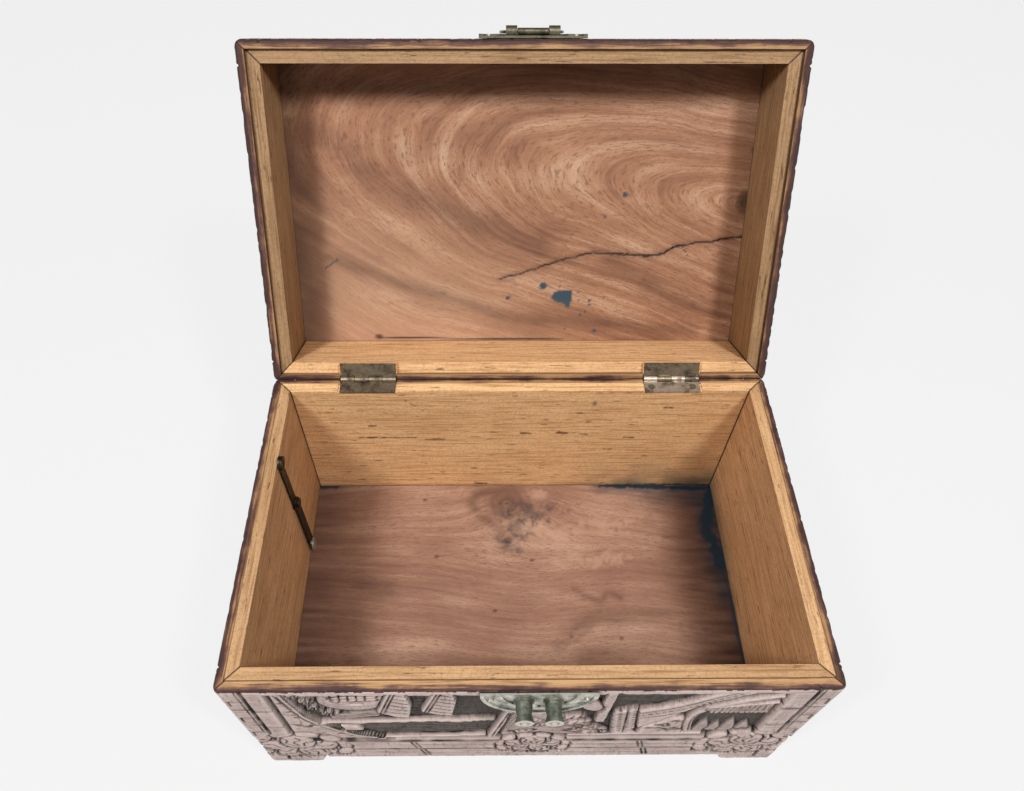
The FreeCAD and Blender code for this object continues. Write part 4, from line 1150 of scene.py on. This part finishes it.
hinge_brass = old_brass("hinge_brass", srgb(186, 170, 142), srgb(146, 130, 108), srgb(74, 64, 52), 0.6)
# a paler brass for the right hinge's base leaf
pale_leaf_brass = old_brass("pale_leaf_brass", srgb(240, 228, 214), srgb(212, 194, 174), srgb(112, 98, 82), 0.8)
pale_brass = srgb(228, 224, 214), srgb(192, 190, 178), srgb(112, 112, 102)
lock_brass = old_brass("lock_brass", *pale_brass, 0.3)
hasp_brass = old_brass("hasp_brass", srgb(140, 134, 112), srgb(108, 102, 84), srgb(66, 62, 50), 0.3)
plate_brass = old_brass("plate_brass", *pale_brass, 0.3, back_shade_depth=0.7)
post_brass = old_brass(
    "post_brass", srgb(164, 166, 152), srgb(128, 132, 118), srgb(84, 88, 76), 0.2,
    end_wear_and_highlight=srgb(214, 208, 198))
iron = dark_metal("dark_iron", srgb(44, 38, 30), srgb(98, 86, 66), 0.5)
steel = dark_metal("stud_steel", srgb(196, 196, 192), srgb(226, 226, 222), 0.35)


# Carved boards

def finish_board(piece, node, body, side, relief, marks):
    """Materials, values and place in the model for one carved board."""
    on_lid = body == "lid"
    along = "x" if side in ("front", "back") else "y"
    mesh = piece.data
    relief_values(mesh, side, relief, on_lid)
    for name, values in zip(("shade", "ink"), marks(vertex_points(mesh, on_lid))):
        add_values(mesh, name, values)
    middles = face_middles(mesh, on_lid)
    inset = np.minimum(half_length - np.abs(middles[:, 0]), half_depth - np.abs(middles[:, 1]))
    depth = face_coordinates(side, middles)[2]
    rim_level, rim_reach, step = (lid_rim, 2.0, rebate_inset) if on_lid else (base_height, 2.2, lip_inset)
    outside, rim, inside = range(3)
    index = np.where(inset < step - step_slack, outside, inside)
    at_rim = np.abs(middles[:, 2] - rim_level) < rim_reach
    index = np.where((index == outside) & at_rim & (depth > 0.5), rim, index)
    if not on_lid:
        index = np.where(middles[:, 2] < foot_top, outside, index)
    plain = plain_wood(node + "_wood", on_lid, along, painted_light_shares.get(node, 1.0))
    paint_faces(piece, [carved[along, on_lid], rims[along, on_lid], plain], index)
    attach(piece, body)
    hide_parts(node)


def no_marks(points):
    """Bare wood: no shade and no ink."""
    return np.zeros(len(points)), np.zeros(len(points))


# Marks on the inside of the back board: x to the right, z up
wall_cracks = [
    ([(-102.4, 80.2), (-92, 80.6), (-80, 79.8), (-65.8, 80.3)], 0.55), ([(-60, 78), (-48.5, 78.4)], 0.6),
    ([(2, 84.8), (8, 84.4)], 0.9), ([(26, 85.4), (31, 84.4)], 1.1), ([(40, 84), (44, 83.2)], 0.6),
    ([(68, 79.9), (75, 79.6)], 0.6), ([(90, 111.8), (95, 111.6)], 0.7), ([(-28, 23.6), (-20, 23.4)], 0.7),
    ([(-70, 119.5), (-59.5, 109.3)], 0.25), ([(-95, 93), (-91, 93)], 0.6), ([(56, 66), (62, 66.2)], 0.5),
]
wall_ink = [(46.0, 116.0, 1.4, 2.6, 0.6), (44.0, 97.0, 1.8, 1.2, 0.6), (85.5, 58.0, 2.2, 0.9, 0.6)]


def back_wall_marks(points):
    """Open grain, small spots and the blue tint low on the right of the back wall."""
    x, y, z = points.T
    inner_face = np.abs(y - half_depth + board) < wall_reach
    shade = np.zeros(len(points))
    ragged = 1 + 0.6 * mottle(x, z, 1.7, 31)
    for line, width in wall_cracks:
        shade = np.maximum(shade, 0.9 * smooth(1.6 - line_distance(x, z, line) / (width * ragged)))
    low = np.exp(-np.maximum(z - floor_level, 0) / 24) * smooth((x - 10) / 90)
    tint = 0.8 * low * (0.8 + 0.4 * mottle(x, z, 9.0, 33))
    seam = 0.9 * smooth((floor_level + 2.4 * ragged - z) / 1.6) * smooth((x - 45) / 30)
    ink = np.maximum(tint, seam)
    for at_x, at_z, wide, tall, strength in wall_ink:
        ink = np.maximum(ink, strength * smooth(1.5 - oval_distance(x, z, at_x, at_z, wide, tall)))
    return np.where(inner_face, shade, 0.0), np.where(inner_face, ink, 0.0)


def right_wall_marks(points):
    """The ink that ran down into the back corner of the right wall."""
    x, y, z = points.T
    inner_face = np.abs(half_length - board - x) < wall_reach
    low = np.exp(-np.maximum(z - floor_level, 0) / 9) * smooth((y + 60) / 120)
    tint = np.where(inner_face, 0.7 * low, 0.0)
    return np.zeros(len(points)), tint


def base_boards():
    reliefs = {
        "front": front_relief(),
        "back": harbour_relief(half_length, 23, (0.85, 0.85), ("pine", "hall", "junk", "bridge")),
        "left": harbour_relief(half_depth, 37, (0.6, 0.7), ("hall", "junk")),
        "right": harbour_relief(half_depth, 41, (0.6, 0.7), ("junk", "pine", "hall")),
    }
    marked = {"back": ((1.1, 0.9), back_wall_marks), "right": ((2.5, 2.5), right_wall_marks)}
    for side, relief in reliefs.items():
        node = f"{side}_board"
        reach = relief.half - plug_inset
        plug = block(side, (-reach, reach), (field_low - 3.0, field_high + 1.0), (0.0, plug_depth), False)
        inner, marks, back = None, no_marks, board + past_back
        if side in marked:
            pitch, marks = marked[side]
            inner = Relief(relief.half, relief.low, relief.high, pitch, 0)
            back = board - wall_skin
        solid = relief_solid(side, relief, back, False, inner)
        piece = carve(node, [("UNION", plug), ("INTERSECT", solid)])
        finish_board(piece, node, "base", side, relief, marks)


def lid_rails():
    for side, half, seed in (
        ("front", half_length, 53),
        ("back", half_length, 59),
        ("left", half_depth, 61),
        ("right", half_depth, 67),
    ):
        node = f"lid_{side}_rail"
        relief = rail_relief(half, seed, (0.6, 0.6), side == "front")
        reach = half - plug_inset
        rail_span = (lid_rim + rail_plug_inset, lid_under - rail_plug_inset)
        plug = block(side, (-reach, reach), rail_span, (0.0, plug_depth), True)
        solid = relief_solid(side, relief, board + past_back, True)
        piece = carve(node, [("UNION", plug), ("INTERSECT", solid)])
        finish_board(piece, node, "lid", side, relief, no_marks)


board_values = ("figure", "shade", "ink", "crack", "pale")

# Marks on the inside of the lid, in its own plane: x to the right, y from front (-) to back (+)

crack_line = [
    (-11.6, 42.1), (4.7, 37.7), (24.6, 30.7), (46.2, 25.1), (58.8, 26.3), (83.3, 27.6), (88.2, 26.3),
    (100.2, 20.7), (109.4, 19.5), (121.1, 18.3), (138.0, 15.8),
]
crack_branch = [(100.8, 20.7), (105.2, 27.0)]
joint_line = [(-90.0, 80.6), (-40.0, 81.6), (30.0, 82.4)]
ink_blot = [(21.4, 54.8), (23.4, 50.4), (34.0, 49.3), (34.2, 55.9), (32.3, 61.0), (27.9, 58.1)]
ink_dots = [
    (15.7, 46.7, 2.6), (63.8, -9.7, 1.9), (52.5, 3.5, 1.0), (54.8, 54.0, 1.1), (49.6, 76.7, 1.6),
    (-6.5, 54.5, 1.5), (26.5, 47.2, 0.9), (38.3, 51.1, 1.0), (38.5, 56.3, 0.9), (45.6, 56.4, 1.1),
    (45.7, 59.2, 1.0), (43.1, 63.7, 1.2), (40.0, 65.9, 1.3), (30.3, 75.3, 0.9), (-113.4, 29.9, 1.3),
]
ink_stroke = [(-120.7, 35.0), (-113.4, 29.9)]
panel_knots = [(137.0, -5.5, 5.0, 7.0), (139.0, -35.7, 2.0, 2.0), (-90.1, 80.2, 2.4, 1.6)]
panel_bands = [
    ([(-136, -48), (-115, -40), (-81, -19), (-49, -2), (-7, 14), (12, 21)], 9.0, 0.5),
    ([(-118, 28), (-84, 42), (-42, 55), (0, 68), (48, 71), (113, 77)], 5.0, 0.6),
    ([(-60, 52), (-10, 68), (40, 72), (90, 75)], 10.0, 0.25),
    ([(56, 29), (100, 55), (134, 64)], 7.0, 0.5),
    ([(-136, -72), (-60, -70), (10, -76), (136, -78)], 8.0, 0.45),
    ([(60, -42), (83, -41), (100, -38)], 2.0, 0.3),
    # painted shadow of the lid's left rail on the panel
    ([(-138, -80), (-138, 80)], 18.0, 0.85),
    ([(134, -70), (137, -20), (130, 40), (136, 80)], 7.0, 0.3),
    ([(-100, -30), (-60, -34), (0, -56), (60, -62)], 8.0, 0.2),
    ([(-30, -30), (-44, -6), (-20, 14)], 7.0, 0.16),
    ([(56, -52), (100, -54), (136, -46)], 20.0, 0.16),
]
panel_inset = 5.0  # the lid's edge to the panel's fine grid
panel_skin = 0.05
panel_reach = 1.5  # faces below this height over the panel's plane take its wood
crack_depth = 0.4
air_depth = 6.0  # how far the cutter of the panel reaches down
top_plug_depth = 4.5
top_cut_depth = 20.0
ring_focus = (140.0, -4.0)
ring_length = 3.2  # how much longer than high the growth rings are


def strongest_band(u, v, bands, grain):
    """The strongest of several soft bands along curves, broken by the grain."""
    strongest = np.zeros_like(u)
    for points, width, strength in bands:
        fade = np.exp(-(line_distance(u, v, curve(points, 8)) / width) ** 2)
        strongest = np.maximum(strongest, strength * fade * grain)
    return strongest


def panel_values(u, v):
    """Rings, shades, ink and cracks of the lid's inside."""
    along = u - ring_focus[0]
    across = v - ring_focus[1] - 0.18 * along
    across = np.where(across > 0, across / 1.15, across / 0.88)
    figure = np.hypot(along / ring_length, across) + 5 * mottle(u, v, 70.0, 5) + 1.2 * mottle(u, v, 22.0, 9)
    shade = strongest_band(u, v, panel_bands, 0.75 + 0.25 * mottle(u, v, 14.0, 8))
    ragged = 0.5 * mottle(u, v, 1.6, 3) + 0.4 * mottle(u, v, 4.0, 4)
    ink = smooth((inside_distance(u, v, ink_blot) + ragged + 0.6) / 0.7)
    for x, y, radius in ink_dots:
        ink = np.maximum(ink, smooth((radius - np.hypot(u - x, v - y) + 0.3 * ragged) / 0.6))
    ink = np.maximum(ink, smooth((0.6 - line_distance(u, v, ink_stroke)) / 0.5))
    wander = 0.6 * mottle(u, v, 5.0, 6) + 0.4 * mottle(u, v, 2.0, 7)
    width = 0.35 + 0.25 * smooth((u - 10) / 60)
    crack = smooth((width + 0.35 - line_distance(u, v + wander, crack_line)) / 0.6)
    crack = np.maximum(crack, smooth((0.5 - line_distance(u, v, crack_branch)) / 0.5))
    crack = np.maximum(crack, smooth((0.7 - line_distance(u, v, joint_line)) / 0.6))
    halo = 0.35 * np.exp(-(line_distance(u, v, crack_line) / 2.6) ** 2)
    shade = np.maximum(shade, halo)
    for x, y, across, along in panel_knots:
        t = oval_distance(u, v, x, y, across, along)
        shade = np.maximum(shade, 0.75 * smooth((1.5 - t) / 0.8))
        crack = np.maximum(crack, 0.4 * smooth((0.75 - t) / 0.4))
    pale = 0.45 * smooth((v + 10 - 0.35 * u) / 110) * smooth((90 - u) / 150)
    return figure, shade, ink, crack, pale


def lid_board():
    """The top board: carved above, plain below with its crack and ink."""
    relief = top_relief()
    front, back = -half_depth + panel_inset, half_depth - panel_inset
    under = Relief(half_length - panel_inset, front, back, (1.05, 1.0), 83)
    u, v = under.u, -under.v
    crack = panel_values(u, v)[3]
    open_crack = np.where(line_distance(u, v, crack_line) < 2.5, crack, 0.0)
    under.h = -panel_skin - crack_depth * open_crack
    reach_u, reach_v = half_length - plug_inset, half_depth - plug_inset
    plug = block("top", (-reach_u, reach_u), (-reach_v, reach_v), (0.0, top_plug_depth), True)
    solid = relief_solid("top", relief, top_cut_depth, True)
    air_below = relief_solid("under", under, -air_depth, True)
    air_below.data.flip_normals()
    piece = carve("lid_top_board", [("UNION", plug), ("INTERSECT", solid), ("DIFFERENCE", air_below)])
    mesh = piece.data
    relief_values(mesh, "top", relief, True)
    points = vertex_points(mesh, True)
    for name, values in zip(board_values, panel_values(points[:, 0], points[:, 1])):
        add_values(mesh, name, values)
    middles = face_middles(mesh, True)
    paint_faces(piece, [carved["x", True], panel], middles[:, 2] < lid_under + panel_reach)
    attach(piece, "lid")
    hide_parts("lid_top_board")


# Marks on the floor: x to the right, y from front (-) to back (+)

floor_shades = [
    ([(-31, 69), (-26, 76), (-12, 78), (-2, 72), (-1, 64)], 4.0, 0.6),
    ([(-30, 66), (-22, 57), (-12, 48), (-8, 36)], 4.0, 0.5),
    ([(-10, 70), (-8, 60), (-14, 52)], 6.0, 0.35),
    ([(60, -16), (100, -12), (136, -14)], 7.0, 0.55),
    ([(24, -34), (42, -18), (62, -14)], 5.0, 0.45),
    ([(-136, 10), (-108, 9), (-86, 6)], 9.0, 0.5),
    ([(-136, -34), (-118, -36), (-100, -44)], 7.0, 0.5),
    ([(-136, -20), (-112, -26), (-90, -40)], 5.0, 0.35),
    ([(36, 4), (52, -4), (58, 2), (66, -2)], 2.4, 0.5),
    ([(34, -30), (44, -22), (52, -12)], 3.0, 0.4),
    ([(100, 42), (112, 42)], 2.4, 0.6),
    ([(40, -40), (90, -30), (136, -34)], 8.0, 0.35),
    # These two: painted shadow of the left and right walls on the floor, with dirt along them.
    ([(-138, -80), (-138, 80)], 34.0, 0.85),
    ([(138, -80), (138, 80)], 36.0, 1.1),
]
floor_smudges = [
    (9.0, 61.0, 19.0, 10.0, 0.75), (-6.0, 36.0, 10.0, 8.0, 0.75), (25.0, 66.0, 9.0, 8.0, 0.7),
    (1.0, 48.0, 9.0, 12.0, 0.65),
]
floor_knot = (-6.4, 68.4)
floor_inset = 6.0  # the base's faces to the floor's fine grid
floor_skin = 0.06
floor_wear = 0.04
floor_cut_depth = 12.0
floor_ink = [
    ([(61, 83.5), (101, 81.5), (138, 80.0)], 3.0, 1.0),
    ([(138, 80), (133, 62), (130, 50), (133, 36), (135, 22)], 6.5, 1.0),
    ([(135, 22), (137, 0), (137.6, -46), (137.6, -82)], 1.6, 0.8),
    ([(-138, 82.5), (-126, 82.5)], 2.4, 0.9),
]
floor_haze = [
    ([(96, 80), (118, 76), (136, 66)], 12.0, 0.8), ([(60, 82), (100, 80), (132, 74)], 6.0, 0.7),
    ([(134, 74), (130, 40), (136, 0)], 9.0, 0.75), ([(137, 0), (138, -80)], 4.0, 0.5),
]
floor_pale = [
    (16.0, 76.0, 10.0, 5.0), (45.0, 25.0, 20.0, 5.0), (30.0, 44.0, 14.0, 5.0), (62.0, 52.0, 18.0, 6.0),
]
floor_spots = [(-63.5, 71.4), (-53.9, 27.8), (9.5, 25.0), (-15.3, -10.3), (63.8, -28.9), (32.6, -27.7)]


def floor_values(u, v):
    """Figure, shades and ink of the floor."""
    bend = 10 * np.exp(-oval_distance(u, v, 2, 66, 36, 24) ** 2)
    figure = v * 0.9 + 5 * np.sin(u / 70) + 7 * mottle(u, v, 70.0, 15) - bend * 2.2
    knot = np.hypot(u - floor_knot[0], v - floor_knot[1])
    figure = figure + (knot * 0.8 - figure) * smooth((13 - knot) / 11)
    shade = strongest_band(u, v, floor_shades, 0.78 + 0.22 * mottle(u * 0.12, v, 3.2, 18))
    swirl = 0.5 + 0.5 * np.cos(knot * 1.15 + 2.0 * mottle(u, v, 8.0, 19))
    shade = np.maximum(shade, (0.42 + 0.16 * swirl) * smooth((21 - knot) / 14))
    for x, y in floor_spots:
        shade = np.maximum(shade, 0.7 * smooth(1.6 - oval_distance(u, v, x, y, 1.4, 1.0)))
    ragged = 1.0 + 0.45 * mottle(u, v, 4.5, 13) + 0.35 * mottle(u, v, 1.8, 14)
    ink = np.zeros_like(u)
    for points, width, strength in floor_ink:
        distance = line_distance(u, v, curve(points, 8))
        ink = np.maximum(ink, strength * smooth(1.35 - distance / (width * ragged)))
    haze = strongest_band(u, v, floor_haze, 0.8 + 0.2 * mottle(u * 0.3, v, 3.0, 17))
    ink = np.maximum(ink, haze)
    streaks = 0.75 + 0.25 * mottle(u * 0.4, v, 2.4, 16)
    for x, y, across, along, strength in floor_smudges:
        t = oval_distance(u, v, x, y, across, along)
        ink = np.maximum(ink, strength * smooth((1.3 * ragged - t) / 1.3) * streaks)
    pale = np.zeros_like(u)
    for x, y, across, along in floor_pale:
        t = oval_distance(u, v, x, y, across, along)
        pale = np.maximum(pale, 0.6 * smooth((1.5 * ragged - t) / 1.2))
    return figure, np.clip(shade, 0, 1), np.clip(ink, 0, 1), np.zeros_like(u), pale


def floor_board():
    """The bottom board with a fine grid on top that carries its stains."""
    front, back = -half_depth + floor_inset, half_depth - floor_inset
    top = Relief(half_length - floor_inset, front, back, (0.9, 0.9), 97)
    top.h = -floor_skin - floor_wear * np.abs(mottle(top.u, top.v, 12.0, 98))
    piece = carve("bottom_board", [("INTERSECT", relief_solid("floor", top, floor_cut_depth, False))])
    mesh = piece.data
    points = vertex_points(mesh, False)
    for name, values in zip(board_values, floor_values(points[:, 0], points[:, 1])):
        add_values(mesh, name, values)
    paint_faces(piece, [floor_wood], np.zeros(len(mesh.polygons)))
    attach(piece, "base")
    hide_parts("bottom_board")


# Metal and pins keep their solids

def dress_nodes():
    """Gives each remaining node the finish of its slot, or one of its own."""
    finishes = {
        "hinge_brass": hinge_brass, "lock_brass": lock_brass, "bamboo": bamboo,
        "dark_iron": iron, "stud_steel": steel,
    }
    own_finishes = {
        "lock_lower_plate": plate_brass, "lock_post_left": post_brass, "lock_post_right": post_brass,
        "hasp": hasp_brass, "hasp_pin": hasp_brass, "lock_upper_plate": hasp_brass,
        "right_hinge_base_leaf": pale_leaf_brass,
    }
    for entry in frame["record"]["subparts"]:
        material = own_finishes.get(entry["node"], finishes.get(entry["material_slot"]))
        if material is not None:
            mesh = frame["nodes"][entry["node"]].data
            mesh.materials.clear()
            mesh.materials.append(material)


# Stage, light and camera

sky_strength = 0.14
lamp_sizes = (0.12, 0.3)


def stage():
    """A pale floor that shows white and still takes a soft shadow."""
    size = 6.0
    corners = [(x, y, 0) for x, y in rectangle(-size, -size, size, size)]
    ground = mesh_object("ground", corners, [[0, 1, 2, 3]])
    s = Shader("ground")
    s.tree.nodes.remove(s.surface)
    rays = s.node("LightPath", {}).outputs
    seen = s.math("MAXIMUM", rays["Is Camera Ray"], rays["Is Glossy Ray"])
    seen = s.math("MAXIMUM", seen, rays["Is Transmission Ray"])
    plain = s.node("BsdfDiffuse", {"Color": (0.8, 0.8, 0.8, 1.0)}).outputs[0]
    glow = s.node("Emission", {"Color": srgb(245, 245, 245)}).outputs[0]
    mixed = s.node("MixShader", {0: s.math("MULTIPLY", seen, 0.9), 1: plain, 2: glow}).outputs[0]
    s.tree.links.new(mixed, s.tree.nodes["Material Output"].inputs["Surface"])
    ground.data.materials.append(s.material)


def lights():
    """A faint even sky and two lamps above the front."""
    world = bpy.data.worlds.new("studio")
    bpy.context.scene.world = world
    world.use_nodes = True
    back = world.node_tree.nodes["Background"]
    back.inputs["Color"].default_value = (1.0, 1.0, 1.0, 1.0)
    back.inputs["Strength"].default_value = sky_strength
    target = Vector((0.0, (frame_y + 20) * MM, 0.09))
    for name, place, power in (
        ("left_lamp", (-0.62, -0.55, 1.25), 11.0),
        ("right_lamp", (0.50, -0.55, 1.30), 11.5),
    ):
        lamp = bpy.data.lights.new(name, "AREA")
        lamp.energy = power
        lamp.shape = "RECTANGLE"
        lamp.size, lamp.size_y = lamp_sizes
        made = add_object(name, lamp)
        made.location = place
        made.rotation_euler = (target - made.location).to_track_quat("-Z", "Y").to_euler()


def camera():
    """The photograph's view, solved from the box's corners."""
    yaw, pitch, roll = 0.0140208, 0.9291631, 0.0085811
    ahead = Vector((math.sin(yaw) * math.cos(pitch), math.cos(yaw) * math.cos(pitch), -math.sin(pitch)))
    side = Vector((math.cos(yaw), -math.sin(yaw), 0.0))
    up = side.cross(ahead)
    right = math.cos(roll) * side + math.sin(roll) * up
    above = math.cos(roll) * up - math.sin(roll) * side
    data = bpy.data.cameras.new("view")
    data.sensor_width = 36.0
    data.lens = 27.976
    data.shift_x = 0.01936
    data.shift_y = 0.01535
    made = add_object("view", data)
    turn = Matrix((right, above, -ahead)).transposed().to_4x4()
    eye = Vector((-21.020, -212.506 + frame_y, 504.120)) * MM
    made.matrix_world = Matrix.Translation(eye) @ turn
    bpy.context.scene.camera = made


base_boards()
lid_rails()
lid_board()
floor_board()
dress_nodes()
stage()
lights()
camera()
bpy.context.scene.view_settings.view_transform = "Standard"
